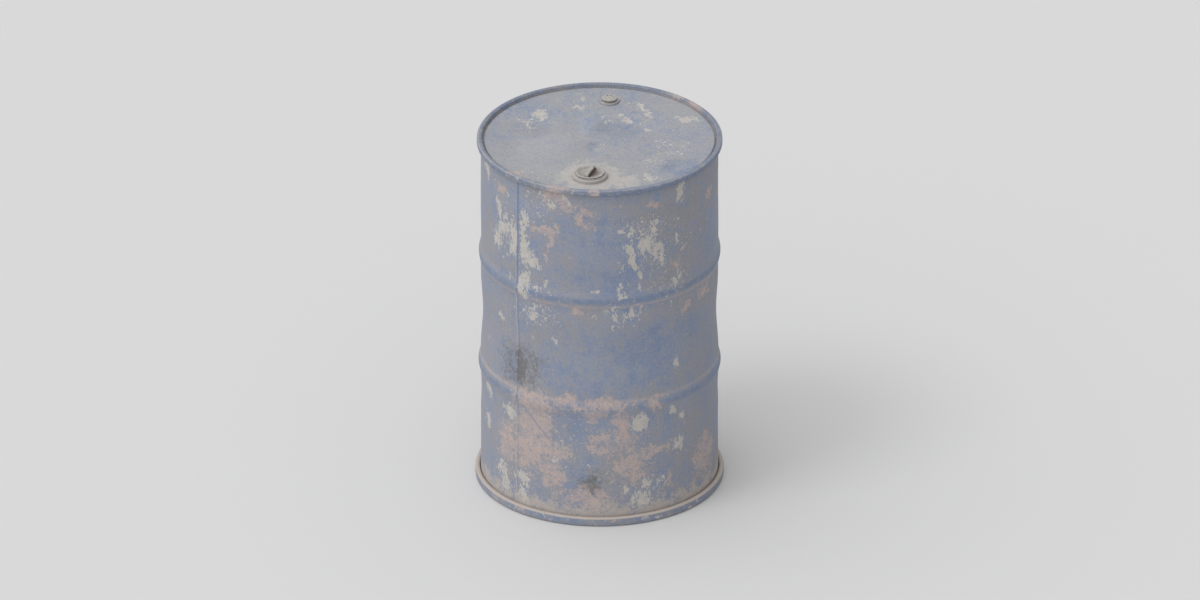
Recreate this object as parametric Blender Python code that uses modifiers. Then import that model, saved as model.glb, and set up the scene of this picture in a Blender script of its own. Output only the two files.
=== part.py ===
"""Rusty oil barrel: a 200-litre tight-head steel drum, dented and worn, with two screw-in bungs.

Metres, +Z up. The barrel stands on its bottom chime at z = 0, centred on the Z axis, and its front
faces -Y. Azimuths are in degrees from the front and grow towards +X. A depth in a chime is measured
from that end of the barrel towards the middle.
"""

import math
from collections import namedtuple

import bmesh
import bpy
from mathutils import Matrix, Vector

# Whole barrel
DRUM_HEIGHT = 0.890
BODY_RADIUS = 0.282
SHEET = 0.0012
CLEARANCE = 0.0003

# Longitudinal weld of the body, and the facets that share the rest of the circle
WELD_AZIMUTH = -44.0
WELD_RISE = 0.0009
WELD_HALF_ANGLE = 0.8
RING_FACETS = 40

# Rolling hoops and the waist that the drum was squeezed to between them
LOWER_HOOP_HEIGHT = 0.303
UPPER_HOOP_HEIGHT = 0.591
HOOP_HALF_WIDTH = 0.028
HOOP_RISE = 0.0054
WAIST_HEIGHT = 0.438
WAIST_HALF_HEIGHT = 0.105
WAIST_DEPTH = 0.0050
FOOT_WAIST_HEIGHT = 0.235
FOOT_WAIST_HALF_HEIGHT = 0.055
FOOT_WAIST_DEPTH = 0.0018
WALL_ROWS = 3

# Rolled chimes: seven layers of sheet, four of the head and three of the body, standing out past the wall
TOP_CHIME_OVERHANG = 0.0100
TOP_CHIME_DEPTH = 0.0140
TOP_CROWN_BEND = 0.0040
TOP_HEEL_BEND = 0.0022
BOTTOM_CHIME_OVERHANG = 0.0130
BOTTOM_CHIME_DEPTH = 0.0225
BOTTOM_CROWN_BEND = 0.0050
BOTTOM_HEEL_BEND = 0.0040
COMPOUND_THICKNESS = 0.0010
COMPOUND_WIDTH = 0.0026
HOOK_CLEARANCE = 0.0006
CHUCK_CLEARANCE = 0.0003

# Heads
TOP_PANEL_DEPTH = 0.0070
COUNTERSINK_DEPTH = 0.0150
COUNTERSINK_WIDTH = 0.0060
BOTTOM_PANEL_DEPTH = 0.0220
PANEL_BEND = 0.0025
PANEL_RINGS = 6
BOTTOM_PANEL_RINGS = 3

# Worked out from the sizes above; the chuck wall is the head's wall inside a chime
WALL_RADIUS = BODY_RADIUS - SHEET / 2
CHUCK_RADIUS = BODY_RADIUS - SHEET - CHUCK_CLEARANCE - SHEET / 2
TOP_CHIME_RADIUS = BODY_RADIUS + TOP_CHIME_OVERHANG
BOTTOM_CHIME_RADIUS = BODY_RADIUS + BOTTOM_CHIME_OVERHANG
PANEL_HEIGHT = DRUM_HEIGHT - TOP_PANEL_DEPTH

# A dent in the body: where it is, how far it reaches, and how deep it is
Dent = namedtuple("Dent", "azimuth height half_angle half_height depth")
BODY_DENTS = (
    Dent(azimuth=64.0, height=0.672, half_angle=24.0, half_height=0.052, depth=0.0036),
    Dent(azimuth=22.0, height=0.452, half_angle=26.0, half_height=0.090, depth=0.0030),
    Dent(azimuth=-14.0, height=0.190, half_angle=22.0, half_height=0.085, depth=0.0026),
    Dent(azimuth=158.0, height=0.450, half_angle=30.0, half_height=0.100, depth=0.0085),
    Dent(azimuth=-118.0, height=0.735, half_angle=26.0, half_height=0.090, depth=0.0060),
    Dent(azimuth=112.0, height=0.150, half_angle=24.0, half_height=0.080, depth=0.0048),
)

# A buckle in the top head: its middle, how far it reaches along and across, how it is turned, its rise
Buckle = namedtuple("Buckle", "x y half_length half_width turn rise")
TOP_BUCKLES = (
    Buckle(x=-0.115, y=-0.030, half_length=0.135, half_width=0.060, turn=27.0, rise=0.0044),
    Buckle(x=-0.022, y=0.052, half_length=0.062, half_width=0.040, turn=70.0, rise=0.0046),
    Buckle(x=0.072, y=0.066, half_length=0.105, half_width=0.062, turn=-8.0, rise=-0.0075),
    Buckle(x=-0.028, y=-0.062, half_length=0.060, half_width=0.050, turn=20.0, rise=-0.0042),
    Buckle(x=-0.150, y=0.070, half_length=0.075, half_width=0.055, turn=35.0, rise=-0.0045),
    Buckle(x=0.178, y=-0.142, half_length=0.062, half_width=0.034, turn=52.0, rise=-0.0050),
    Buckle(x=0.095, y=-0.045, half_length=0.085, half_width=0.050, turn=12.0, rise=0.0026),
)
BOTTOM_BUCKLES = (
    Buckle(x=0.040, y=-0.030, half_length=0.180, half_width=0.150, turn=30.0, rise=0.0035),
)
PANEL_RIM_BAND = 0.030
BOSS_FLAT_BAND = 0.006
BOSS_BLEND_BAND = 0.045
BOSS_ROOT = 0.0010

# A bung and its screwed insert. Heights are over the top head's panel, and both axes are equally far from
# the chuck wall.
BUNG_FROM_CHUCK_WALL = 0.0786
Closure = namedtuple(
    "Closure",
    "name azimuth reach facets thread_radius boss_radius boss_height boss_bend hole_radius lip_radius "
    "lip_thickness seal_thickness plate_thickness sleeve_length gasket_thickness gasket_inset rim_radius "
    "rim_thickness rim_bevel skirt_length skirt_wall floor_thickness",
)
LARGE = Closure(
    name="large",
    azimuth=-6.6,
    reach=CHUCK_RADIUS - BUNG_FROM_CHUCK_WALL,
    facets=28,
    thread_radius=0.0298,
    boss_radius=0.0410,
    boss_height=0.0084,
    boss_bend=0.0015,
    hole_radius=0.0349,
    lip_radius=0.0374,
    lip_thickness=0.0012,
    seal_thickness=0.0010,
    plate_thickness=0.0040,
    sleeve_length=0.0080,
    gasket_thickness=0.0010,
    gasket_inset=0.0016,
    rim_radius=0.0348,
    rim_thickness=0.0022,
    rim_bevel=0.0008,
    skirt_length=0.0195,
    skirt_wall=0.0034,
    floor_thickness=0.0024,
)
SMALL = Closure(
    name="small",
    azimuth=173.4,
    reach=CHUCK_RADIUS - BUNG_FROM_CHUCK_WALL,
    facets=20,
    thread_radius=0.0132,
    boss_radius=0.0235,
    boss_height=0.0043,
    boss_bend=0.0012,
    hole_radius=0.0170,
    lip_radius=0.0196,
    lip_thickness=0.0010,
    seal_thickness=0.0008,
    plate_thickness=0.0030,
    sleeve_length=0.0060,
    gasket_thickness=0.0010,
    gasket_inset=0.0012,
    rim_radius=0.0184,
    rim_thickness=0.0032,
    rim_bevel=0.0006,
    skirt_length=0.0140,
    skirt_wall=0.0028,
    floor_thickness=0.0030,
)

# The large bung's dished top and the bar that a wrench turns it by
DISH_DEPTH = 0.0030
DISH_RIM = 0.0032
DISH_FLOOR_RADIUS = 0.0268
BAR_LENGTH = 0.0500
BAR_WIDTH = 0.0125
BAR_HEIGHT = 0.0085
BAR_ROOT = 0.0010
BAR_BEVEL = 0.0014
BAR_TURN = -20.0

# The small bung's two pin-wrench pockets
POCKET_REACH = 0.0125
POCKET_RADIUS = 0.0020
POCKET_DEPTH = 0.0014
POCKET_HALF_SPREAD = 18.0
POCKET_FACETS = 10

SMOOTH_ANGLE = math.radians(35)
MERGE = 0.00001


def clear_scene():
    for old in list(bpy.data.objects):
        bpy.data.objects.remove(old, do_unlink=True)


def new_collection(name):
    collection = bpy.data.collections.new(name)
    bpy.context.scene.collection.children.link(collection)
    return collection


def material(name, colour, roughness, metallic):
    made = bpy.data.materials.new(name)
    made.use_nodes = True
    shader = made.node_tree.nodes["Principled BSDF"]
    shader.inputs["Base Color"].default_value = (*colour, 1.0)
    shader.inputs["Roughness"].default_value = roughness
    shader.inputs["Metallic"].default_value = metallic
    return made


def smooth(edge0, edge1, value):
    """0 at edge0, 1 at edge1, with a soft start and end."""
    share = min(max((value - edge0) / (edge1 - edge0), 0.0), 1.0)
    return share * share * (3.0 - 2.0 * share)


def hump(distance):
    """1 in the middle, 0 from a distance of 1 outwards."""
    return 0.5 * (1.0 + math.cos(math.pi * distance)) if distance < 1.0 else 0.0


def at_azimuth(azimuth, radius):
    """x, y of a point that far from the axis."""
    angle = math.radians(azimuth)
    return radius * math.sin(angle), -radius * math.cos(angle)


# Turned shapes
def profile_mesh(name, points, loop):
    """The half section of a turned shape, as a chain of edges in the XZ plane."""
    mesh = bpy.data.meshes.new(name)
    shape = bmesh.new()
    chain = [shape.verts.new((r, 0.0, z)) for r, z in points]
    for first, second in zip(chain, chain[1:]):
        shape.edges.new((first, second))
    if loop:
        shape.edges.new((chain[-1], chain[0]))
    shape.to_mesh(mesh)
    shape.free()
    return mesh


def turned(name, points, facets, collection, loop=True):
    """An object that a Screw modifier turns from its half section, its outer side first and downwards."""
    piece = bpy.data.objects.new(name, profile_mesh(name, points, loop))
    collection.objects.link(piece)
    screw = piece.modifiers.new("Turn", "SCREW")
    screw.axis = "Z"
    screw.angle = math.tau
    screw.steps = facets
    screw.render_steps = facets
    screw.use_merge_vertices = True
    screw.merge_threshold = MERGE
    screw.use_smooth_shade = True
    return piece


def ring_section(inner, outer, bottom, top):
    return [(outer, top), (outer, bottom), (inner, bottom), (inner, top)]


def round_hole(radius, facets):
    """The corner radius of a faceted hole that a round piece of this radius can turn in."""
    return radius / math.cos(math.pi / facets)


# Sheet pieces round the whole barrel
def shared_angle(angle):
    """Moves the first facet's corner on each side of the weld to the weld bead's edge, and spreads the rest."""
    step = math.tau / RING_FACETS
    bead = math.radians(WELD_HALF_ANGLE)
    away = (angle + math.pi) % math.tau - math.pi
    size = abs(away)
    if size <= step:
        moved = bead * size / step
    else:
        moved = bead + (size - step) * (math.pi - bead) / (math.pi - step)
    return math.copysign(moved, away)


def round_barrel(mesh):
    """Turns a mesh swept from +X so that its first corner lies on the weld, with the barrel's own facets."""
    weld_x, weld_y = at_azimuth(WELD_AZIMUTH, 1.0)
    weld = math.atan2(weld_y, weld_x)
    for vertex in mesh.vertices:
        radius = math.hypot(vertex.co.x, vertex.co.y)
        if radius > MERGE:
            angle = weld + shared_angle(math.atan2(vertex.co.y, vertex.co.x))
            vertex.co.x = radius * math.cos(angle)
            vertex.co.y = radius * math.sin(angle)


def swept(name, points, collection, loop):
    """The evaluated mesh of a section turned round the barrel."""
    turning = turned(name, points, RING_FACETS, collection, loop=loop)
    bpy.context.view_layer.update()
    graph = bpy.context.evaluated_depsgraph_get()
    mesh = bpy.data.meshes.new_from_object(turning.evaluated_get(graph))
    profile = turning.data
    bpy.data.objects.remove(turning)
    bpy.data.meshes.remove(profile)
    mesh.name = name
    round_barrel(mesh)
    return mesh


def sheet_piece(name, points, shape, collection):
    """A pressed or rolled sheet: the middle surface of its section, moved by shape and given its thickness."""
    mesh = swept(name, points, collection, loop=False)
    for vertex in mesh.vertices:
        vertex.co += shape(vertex.co)
    mesh.shade_smooth()
    mesh.set_sharp_from_angle(angle=SMOOTH_ANGLE)
    piece = bpy.data.objects.new(name, mesh)
    collection.objects.link(piece)
    wall = piece.modifiers.new("Sheet", "SOLIDIFY")
    wall.thickness = SHEET
    wall.offset = 0.0
    wall.use_even_offset = True
    return piece


# Sections of the chimes, as (radius, depth)
def turn_back(start, end, depth, bend, steps, crown):
    """A U-turn of sheet from one radius to another, towards the barrel's end (a crown) or its middle (a heel)."""
    side = 1.0 if crown else -1.0
    across = math.copysign(1.0, end - start)
    points = []
    for corner, centre in ((0, start + across * bend), (1, end - across * bend)):
        for step in range(steps + 1):
            angle = math.pi / 2 * step / steps
            out, along = (math.cos(angle), math.sin(angle)) if corner == 0 else (math.sin(angle), math.cos(angle))
            direction = -across if corner == 0 else across
            points.append((centre + direction * bend * out, depth + side * bend * (1.0 - along)))
    return points


def layer(number, chime_radius):
    """The middle radius of a chime's layer, from 2, the body's wall, to 7, the outside."""
    return WALL_RADIUS + (chime_radius - SHEET / 2 - WALL_RADIUS) * (number - 2) / 5


def crown_depths():
    """Middle depths of the three nested crowns: the head's, the body's hook and the head's hook."""
    head = SHEET / 2
    body = head + SHEET + COMPOUND_THICKNESS + 2 * CLEARANCE
    hook = body + SHEET + HOOK_CLEARANCE
    return head, body, hook


def nested(bend, distance):
    """The bend of a chamfered corner that lies this far inside one of the given bend."""
    return bend - (2.0 - math.sqrt(2.0)) * distance


def inner_crown_depth(chime_radius, crown_bend):
    """The depth and bend of the head hook's crown, which nests inside the body's."""
    bend = (layer(5, chime_radius) - layer(3, chime_radius)) / 2 - MERGE
    drop = max(0.0, nested(crown_bend, 2 * (SHEET + HOOK_CLEARANCE)) - bend)
    return crown_depths()[2] + drop, bend


def edge_room():
    """How far a hook's cut edge stays from the middle of the pointed turn that it runs into."""
    return SHEET / 2 * (1.0 + math.sqrt(2.0)) + HOOK_CLEARANCE


def body_hook(chime_radius, chime_depth, crown_bend, heel_bend):
    """The body's part of a chime, from its buried edge to the wall."""
    _, crown, _ = crown_depths()
    heel = chime_depth - SHEET / 2 - SHEET - HOOK_CLEARANCE
    edge = inner_crown_depth(chime_radius, crown_bend)[0] + edge_room()
    fourth, sixth = layer(4, chime_radius), layer(6, chime_radius)
    heel_corner = nested(heel_bend, SHEET + HOOK_CLEARANCE)
    crown_corner = nested(crown_bend, SHEET + HOOK_CLEARANCE)
    return [
        (fourth, edge),
        *turn_back(fourth, sixth, heel, min(heel_corner, (sixth - fourth) / 2 - MERGE), 1, crown=False),
        *turn_back(sixth, WALL_RADIUS, crown, crown_corner, 1, crown=True),
    ]


def head_hook(chime_radius, chime_depth, crown_bend, heel_bend):
    """The head's part of a chime, from its buried edge to the chuck wall."""
    crown, _, _ = crown_depths()
    inner_crown, inner_bend = inner_crown_depth(chime_radius, crown_bend)
    heel = chime_depth - SHEET / 2
    edge = heel - SHEET - HOOK_CLEARANCE - edge_room()
    third, fifth, seventh = (layer(number, chime_radius) for number in (3, 5, 7))
    return [
        (fifth, edge),
        *turn_back(fifth, third, inner_crown, inner_bend, 1, crown=True),
        *turn_back(third, seventh, heel, heel_bend, 1, crown=False),
        *turn_back(seventh, CHUCK_RADIUS, crown, crown_bend, 2, crown=True),
    ]


# The body
def hoop_profile(height):
    """How far the rolling hoops stand out at this height."""
    rise = 0.0
    for hoop in (LOWER_HOOP_HEIGHT, UPPER_HOOP_HEIGHT):
        rise += HOOP_RISE * hump(abs(height - hoop) / HOOP_HALF_WIDTH)
    return rise


def waist_profile(height):
    """How far the wall is squeezed in at this height."""
    waist = WAIST_DEPTH * hump(abs(height - WAIST_HEIGHT) / WAIST_HALF_HEIGHT)
    foot = FOOT_WAIST_DEPTH * hump(abs(height - FOOT_WAIST_HEIGHT) / FOOT_WAIST_HALF_HEIGHT)
    return waist + foot


def wall_heights():
    """The heights at which the wall's section has a point, from the top down."""
    top = DRUM_HEIGHT - TOP_CHIME_DEPTH - HOOP_HALF_WIDTH / 2
    bottom = BOTTOM_CHIME_DEPTH + HOOP_HALF_WIDTH / 2
    hoops = [
        [height + HOOP_HALF_WIDTH * share for share in (1.0, 0.5, 0.0, -0.5, -1.0)]
        for height in (UPPER_HOOP_HEIGHT, LOWER_HOOP_HEIGHT)
    ]
    heights = [top]
    stretches = ((top, hoops[0][0]), (hoops[0][-1], hoops[1][0]), (hoops[1][-1], bottom))
    for (above, below), hoop in zip(stretches, (hoops[0], hoops[1], [bottom])):
        step = (below - above) / (WALL_ROWS + 1)
        heights += [above + step * row for row in range(1, WALL_ROWS + 1)]
        heights += hoop
    return heights


def dent_depth(azimuth, height):
    depth = 0.0
    for dent in BODY_DENTS:
        turn = (azimuth - dent.azimuth + 180.0) % 360.0 - 180.0
        across = math.hypot(turn / dent.half_angle, (height - dent.height) / dent.half_height)
        depth += dent.depth * hump(across)
    return depth


def body_shape(point):
    """Dents and the weld bead, as a move of one point of the body's middle surface."""
    wall_top = DRUM_HEIGHT - TOP_CHIME_DEPTH
    if not BOTTOM_CHIME_DEPTH < point.z < wall_top:
        return Vector()
    radius = math.hypot(point.x, point.y)
    azimuth = math.degrees(math.atan2(point.x, -point.y))
    from_weld = abs((azimuth - WELD_AZIMUTH + 180.0) % 360.0 - 180.0)
    bead = WELD_RISE if from_weld < WELD_HALF_ANGLE / 2 else 0.0
    move = bead - dent_depth(azimuth, point.z)
    return Vector((point.x, point.y, 0.0)) * (move / radius)


def body_shell(collection):
    bottom = body_hook(BOTTOM_CHIME_RADIUS, BOTTOM_CHIME_DEPTH, BOTTOM_CROWN_BEND, BOTTOM_HEEL_BEND)
    top = body_hook(TOP_CHIME_RADIUS, TOP_CHIME_DEPTH, TOP_CROWN_BEND, TOP_HEEL_BEND)
    section = [(radius, DRUM_HEIGHT - depth) for radius, depth in top]
    section += [(WALL_RADIUS + hoop_profile(z) - waist_profile(z), z) for z in wall_heights()]
    section += [(radius, depth) for radius, depth in reversed(bottom)]
    return sheet_piece("body_shell", section, body_shape, collection)


# The heads
def buckle_rise(x, y, buckles):
    rise = 0.0
    for buckle in buckles:
        turn = math.radians(buckle.turn)
        away_x, away_y = x - buckle.x, y - buckle.y
        along = away_x * math.cos(turn) + away_y * math.sin(turn)
        across = away_y * math.cos(turn) - away_x * math.sin(turn)
        rise += buckle.rise * hump(math.hypot(along / buckle.half_length, across / buckle.half_width))
    return rise


def panel_rings(panel_radius, rings, depth):
    return [(panel_radius * (rings - ring) / rings, depth) for ring in range(1, rings + 1)]


def top_panel_radius():
    return CHUCK_RADIUS - COUNTERSINK_WIDTH - PANEL_BEND


def top_head_shape(point):
    """Buckles of the top panel, faded out towards the countersink and round each boss."""
    radius = math.hypot(point.x, point.y)
    share = 1.0 - smooth(top_panel_radius() - PANEL_RIM_BAND, top_panel_radius(), radius)
    for closure in (LARGE, SMALL):
        x, y = at_azimuth(closure.azimuth, closure.reach)
        away = math.hypot(point.x - x, point.y - y)
        flat = closure.boss_radius + BOSS_FLAT_BAND
        share *= smooth(flat, flat + BOSS_BLEND_BAND, away)
    return Vector((0.0, 0.0, share * buckle_rise(point.x, point.y, TOP_BUCKLES)))


def top_head_section():
    panel = TOP_PANEL_DEPTH + SHEET / 2
    inner = CHUCK_RADIUS - COUNTERSINK_WIDTH
    section = head_hook(TOP_CHIME_RADIUS, TOP_CHIME_DEPTH, TOP_CROWN_BEND, TOP_HEEL_BEND)
    section += turn_back(CHUCK_RADIUS, inner, COUNTERSINK_DEPTH, COUNTERSINK_WIDTH / 2 - MERGE, 1, crown=False)
    section += [(inner, panel + PANEL_BEND), (top_panel_radius(), panel)]
    section += panel_rings(top_panel_radius(), PANEL_RINGS, panel)
    return [(radius, DRUM_HEIGHT - depth) for radius, depth in section]


def bottom_panel_radius():
    return CHUCK_RADIUS - PANEL_BEND


def bottom_head_shape(point):
    """A broad shallow bulge of the bottom panel, away from the floor."""
    radius = math.hypot(point.x, point.y)
    share = 1.0 - smooth(bottom_panel_radius() - PANEL_RIM_BAND, bottom_panel_radius(), radius)
    return Vector((0.0, 0.0, share * buckle_rise(point.x, point.y, BOTTOM_BUCKLES)))


def bottom_head_section():
    panel = BOTTOM_PANEL_DEPTH + SHEET / 2
    section = head_hook(BOTTOM_CHIME_RADIUS, BOTTOM_CHIME_DEPTH, BOTTOM_CROWN_BEND, BOTTOM_HEEL_BEND)
    section += [(CHUCK_RADIUS, panel - PANEL_BEND), (bottom_panel_radius(), panel)]
    section += panel_rings(bottom_panel_radius(), BOTTOM_PANEL_RINGS, panel)
    return section


def cut_with(piece, cutter, operation):
    boolean = piece.modifiers.new(cutter.name, "BOOLEAN")
    boolean.operation = operation
    boolean.solver = "EXACT"
    boolean.object = cutter


def cut_with_all(piece, cutters, operation):
    boolean = piece.modifiers.new(cutters.name, "BOOLEAN")
    boolean.operation = operation
    boolean.solver = "EXACT"
    boolean.operand_type = "COLLECTION"
    boolean.collection = cutters


def as_helper(helper):
    helper.hide_render = True
    helper.display_type = "WIRE"


def boss_section(closure):
    """The raised boss round a bung hole: a wall, a bend and a flat top with the hole in it."""
    top, bottom = closure.boss_height, -BOSS_ROOT
    outer, inner = closure.boss_radius, closure.boss_radius - SHEET
    return [
        (outer - closure.boss_bend, top),
        (outer, top - closure.boss_bend),
        (outer, bottom),
        (inner, bottom),
        (inner, top - SHEET - closure.boss_bend / 2),
        (inner - closure.boss_bend / 2, top - SHEET),
        (closure.hole_radius, top - SHEET),
        (closure.hole_radius, top),
    ]


def place_closure(piece, closure):
    piece.location = (*at_azimuth(closure.azimuth, closure.reach), PANEL_HEIGHT)


def top_head(collection, holes, bosses):
    """The top head, with a hole cut in its panel at each bung and the boss joined round it."""
    head = sheet_piece("top_head", top_head_section(), top_head_shape, collection)
    for closure in (LARGE, SMALL):
        hole = closure.boss_radius - SHEET / 2
        above, below = closure.boss_height, -closure.boss_height
        cutter_section = [(0.0, above), (hole, above), (hole, below), (0.0, below)]
        cutter = turned(closure.name + "_hole", cutter_section, closure.facets, holes, loop=False)
        boss = turned(closure.name + "_boss", boss_section(closure), closure.facets, bosses)
        for helper in (cutter, boss):
            place_closure(helper, closure)
            as_helper(helper)
    cut_with_all(head, holes, "DIFFERENCE")
    cut_with_all(head, bosses, "UNION")
    return head


def compound_ring(name, chime_radius, crown_bend, top, collection):
    """The sealing compound that lies between the head's crown and the body's hook."""
    middle = (layer(6, chime_radius) + WALL_RADIUS) / 2
    near = SHEET + CLEARANCE
    far = near + COMPOUND_THICKNESS
    heights = (DRUM_HEIGHT - far, DRUM_HEIGHT - near) if top else (near, far)
    width = min(COMPOUND_WIDTH, layer(7, chime_radius) - CHUCK_RADIUS - 2 * crown_bend)
    section = ring_section(middle - width / 2, middle + width / 2, *heights)
    mesh = swept(name, section, collection, loop=True)
    ring = bpy.data.objects.new(name, mesh)
    collection.objects.link(ring)
    return ring


# Heights of a closure's layers over the panel
Levels = namedtuple("Levels", "plate_bottom plate_top seal_top lip_top gasket_bottom gasket_top rim_bottom rim_top")


def levels(closure):
    seal_top = closure.boss_height - SHEET - CLEARANCE
    plate_top = seal_top - closure.seal_thickness - CLEARANCE
    lip_top = closure.boss_height + CLEARANCE + closure.lip_thickness
    gasket_bottom = lip_top + CLEARANCE
    gasket_top = gasket_bottom + closure.gasket_thickness
    rim_bottom = gasket_top + CLEARANCE
    return Levels(
        plate_bottom=plate_top - closure.plate_thickness,
        plate_top=plate_top,
        seal_top=seal_top,
        lip_top=lip_top,
        gasket_bottom=gasket_bottom,
        gasket_top=gasket_top,
        rim_bottom=rim_bottom,
        rim_top=rim_bottom + closure.rim_thickness,
    )


def plate_radius(closure):
    """The insert's base plate fits up inside the boss."""
    return closure.boss_radius - SHEET - 2 * CLEARANCE


def bung_flange(closure, collection):
    """The screwed insert: base plate under the head, neck up through the hole, lip curled over its edge."""
    at = levels(closure)
    neck = closure.hole_radius - CLEARANCE
    bore = round_hole(closure.thread_radius + CLEARANCE, closure.facets)
    plate = plate_radius(closure)
    section = [
        (closure.lip_radius, at.lip_top),
        (closure.lip_radius, closure.boss_height + CLEARANCE),
        (neck, closure.boss_height + CLEARANCE),
        (neck, at.plate_top),
        (plate, at.plate_top),
        (plate, at.plate_bottom),
        (neck, at.plate_bottom),
        (neck, at.plate_bottom - closure.sleeve_length),
        (bore, at.plate_bottom - closure.sleeve_length),
        (bore, at.lip_top),
    ]
    return turned(closure.name + "_bung_flange", section, closure.facets, collection)


def flange_gasket(closure, collection):
    """The seal between the insert's base plate and the underside of the boss."""
    at = levels(closure)
    section = ring_section(
        closure.hole_radius,
        plate_radius(closure) - CLEARANCE,
        at.seal_top - closure.seal_thickness,
        at.seal_top,
    )
    return turned(closure.name + "_flange_gasket", section, closure.facets, collection)


def bung_gasket(closure, collection):
    at = levels(closure)
    inner = round_hole(closure.thread_radius + CLEARANCE, closure.facets)
    outer = closure.rim_radius - closure.gasket_inset
    section = ring_section(inner, outer, at.gasket_bottom, at.gasket_top)
    return turned(closure.name + "_bung_gasket", section, closure.facets, collection)


def bung_body(closure, top_section, floor_top, collection):
    """A bung from its top, given from the axis outwards, down its rim and its screwed skirt to its hollow."""
    at = levels(closure)
    skirt_bottom = at.rim_bottom - closure.skirt_length
    hollow = closure.thread_radius - closure.skirt_wall
    section = [
        *top_section,
        (closure.rim_radius - closure.rim_bevel, at.rim_top),
        (closure.rim_radius, at.rim_top - closure.rim_bevel),
        (closure.rim_radius, at.rim_bottom),
        (closure.thread_radius, at.rim_bottom),
        (closure.thread_radius, skirt_bottom),
        (hollow, skirt_bottom),
        (hollow, floor_top - closure.floor_thickness),
        (0.0, floor_top - closure.floor_thickness),
    ]
    return turned(closure.name + "_bung", section, closure.facets, collection, loop=False)


def large_bung(collection, helpers):
    """Dished top with a bar across it."""
    rim_top = levels(LARGE).rim_top
    floor = rim_top - DISH_DEPTH
    dish = [(0.0, floor), (DISH_FLOOR_RADIUS, floor), (LARGE.rim_radius - DISH_RIM, rim_top)]
    bung = bung_body(LARGE, dish, floor, collection)
    mesh = bpy.data.meshes.new("large_bung_bar")
    shape = bmesh.new()
    bmesh.ops.create_cube(shape, size=1.0)
    size = (BAR_WIDTH, BAR_LENGTH, BAR_HEIGHT + BAR_ROOT)
    bmesh.ops.scale(shape, vec=size, verts=shape.verts)
    middle = floor + (BAR_HEIGHT - BAR_ROOT) / 2
    bmesh.ops.translate(shape, vec=(0.0, 0.0, middle), verts=shape.verts)
    turn = Matrix.Rotation(math.radians(BAR_TURN), 3, "Z")
    bmesh.ops.rotate(shape, cent=(0.0, 0.0, 0.0), matrix=turn, verts=shape.verts)
    shape.to_mesh(mesh)
    shape.free()
    bar = bpy.data.objects.new("large_bung_bar", mesh)
    helpers.objects.link(bar)
    edges = bar.modifiers.new("Edges", "BEVEL")
    edges.width = BAR_BEVEL
    edges.segments = 1
    as_helper(bar)
    place_closure(bar, LARGE)
    cut_with(bung, bar, "UNION")
    return bung


def small_bung(collection, helpers):
    """Flat top with two pockets for a pin wrench."""
    rim_top = levels(SMALL).rim_top
    bung = bung_body(SMALL, [(0.0, rim_top)], rim_top, collection)
    top, bottom = rim_top + POCKET_DEPTH, rim_top - POCKET_DEPTH
    for side in (-1, 1):
        section = [(0.0, top), (POCKET_RADIUS, top), (POCKET_RADIUS, bottom), (0.0, bottom)]
        name = f"small_bung_pocket_{side}"
        pocket = turned(name, section, POCKET_FACETS, helpers, loop=False)
        as_helper(pocket)
        place_closure(pocket, SMALL)
        x, y = at_azimuth(180.0 + side * POCKET_HALF_SPREAD, POCKET_REACH)
        pocket.location += Vector((x, y, 0.0))
        cut_with(bung, pocket, "DIFFERENCE")
    return bung


def main():
    clear_scene()
    barrel = new_collection("rusty_oil_barrel")
    helpers = new_collection("cutters")
    holes = new_collection("bung_holes")
    bosses = new_collection("bung_bosses")

    paint = material("worn_blue_paint", (0.215, 0.245, 0.315), 0.62, 0.0)
    head_paint = material("dusty_head_paint", (0.340, 0.355, 0.385), 0.68, 0.0)
    foot_paint = material("rusty_foot_paint", (0.300, 0.262, 0.245), 0.75, 0.0)
    compound = material("sealing_compound", (0.075, 0.070, 0.062), 0.80, 0.0)
    zinc = material("dull_zinc", (0.350, 0.335, 0.320), 0.55, 0.70)
    gasket_rubber = material("gasket_rubber", (0.045, 0.042, 0.040), 0.85, 0.0)

    pieces = [
        (body_shell(barrel), paint),
        (top_head(barrel, holes, bosses), head_paint),
        (sheet_piece("bottom_head", bottom_head_section(), bottom_head_shape, barrel), foot_paint),
        (compound_ring("top_seam_compound", TOP_CHIME_RADIUS, TOP_CROWN_BEND, True, barrel), compound),
        (compound_ring("bottom_seam_compound", BOTTOM_CHIME_RADIUS, BOTTOM_CROWN_BEND, False, barrel), compound),
    ]
    for closure in (LARGE, SMALL):
        bung = large_bung(barrel, helpers) if closure is LARGE else small_bung(barrel, helpers)
        parts = (
            (bung_flange(closure, barrel), zinc),
            (flange_gasket(closure, barrel), gasket_rubber),
            (bung, zinc),
            (bung_gasket(closure, barrel), gasket_rubber),
        )
        for piece, finish in parts:
            place_closure(piece, closure)
            pieces.append((piece, finish))
    for piece, finish in pieces:
        piece.data.materials.append(finish)


main()
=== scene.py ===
"""Looks of a rusty oil barrel: a dented blue steel drum with flaked paint, rust stains, soot and dust.

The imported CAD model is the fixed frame. Metres, +Z up, front towards -Y. The body, both heads, the two
bungs, their screwed inserts and their gaskets are replaced by finer pieces of the same sizes. The seam
compounds and the seals under the inserts stay as they are and only get materials.
"""

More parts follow.
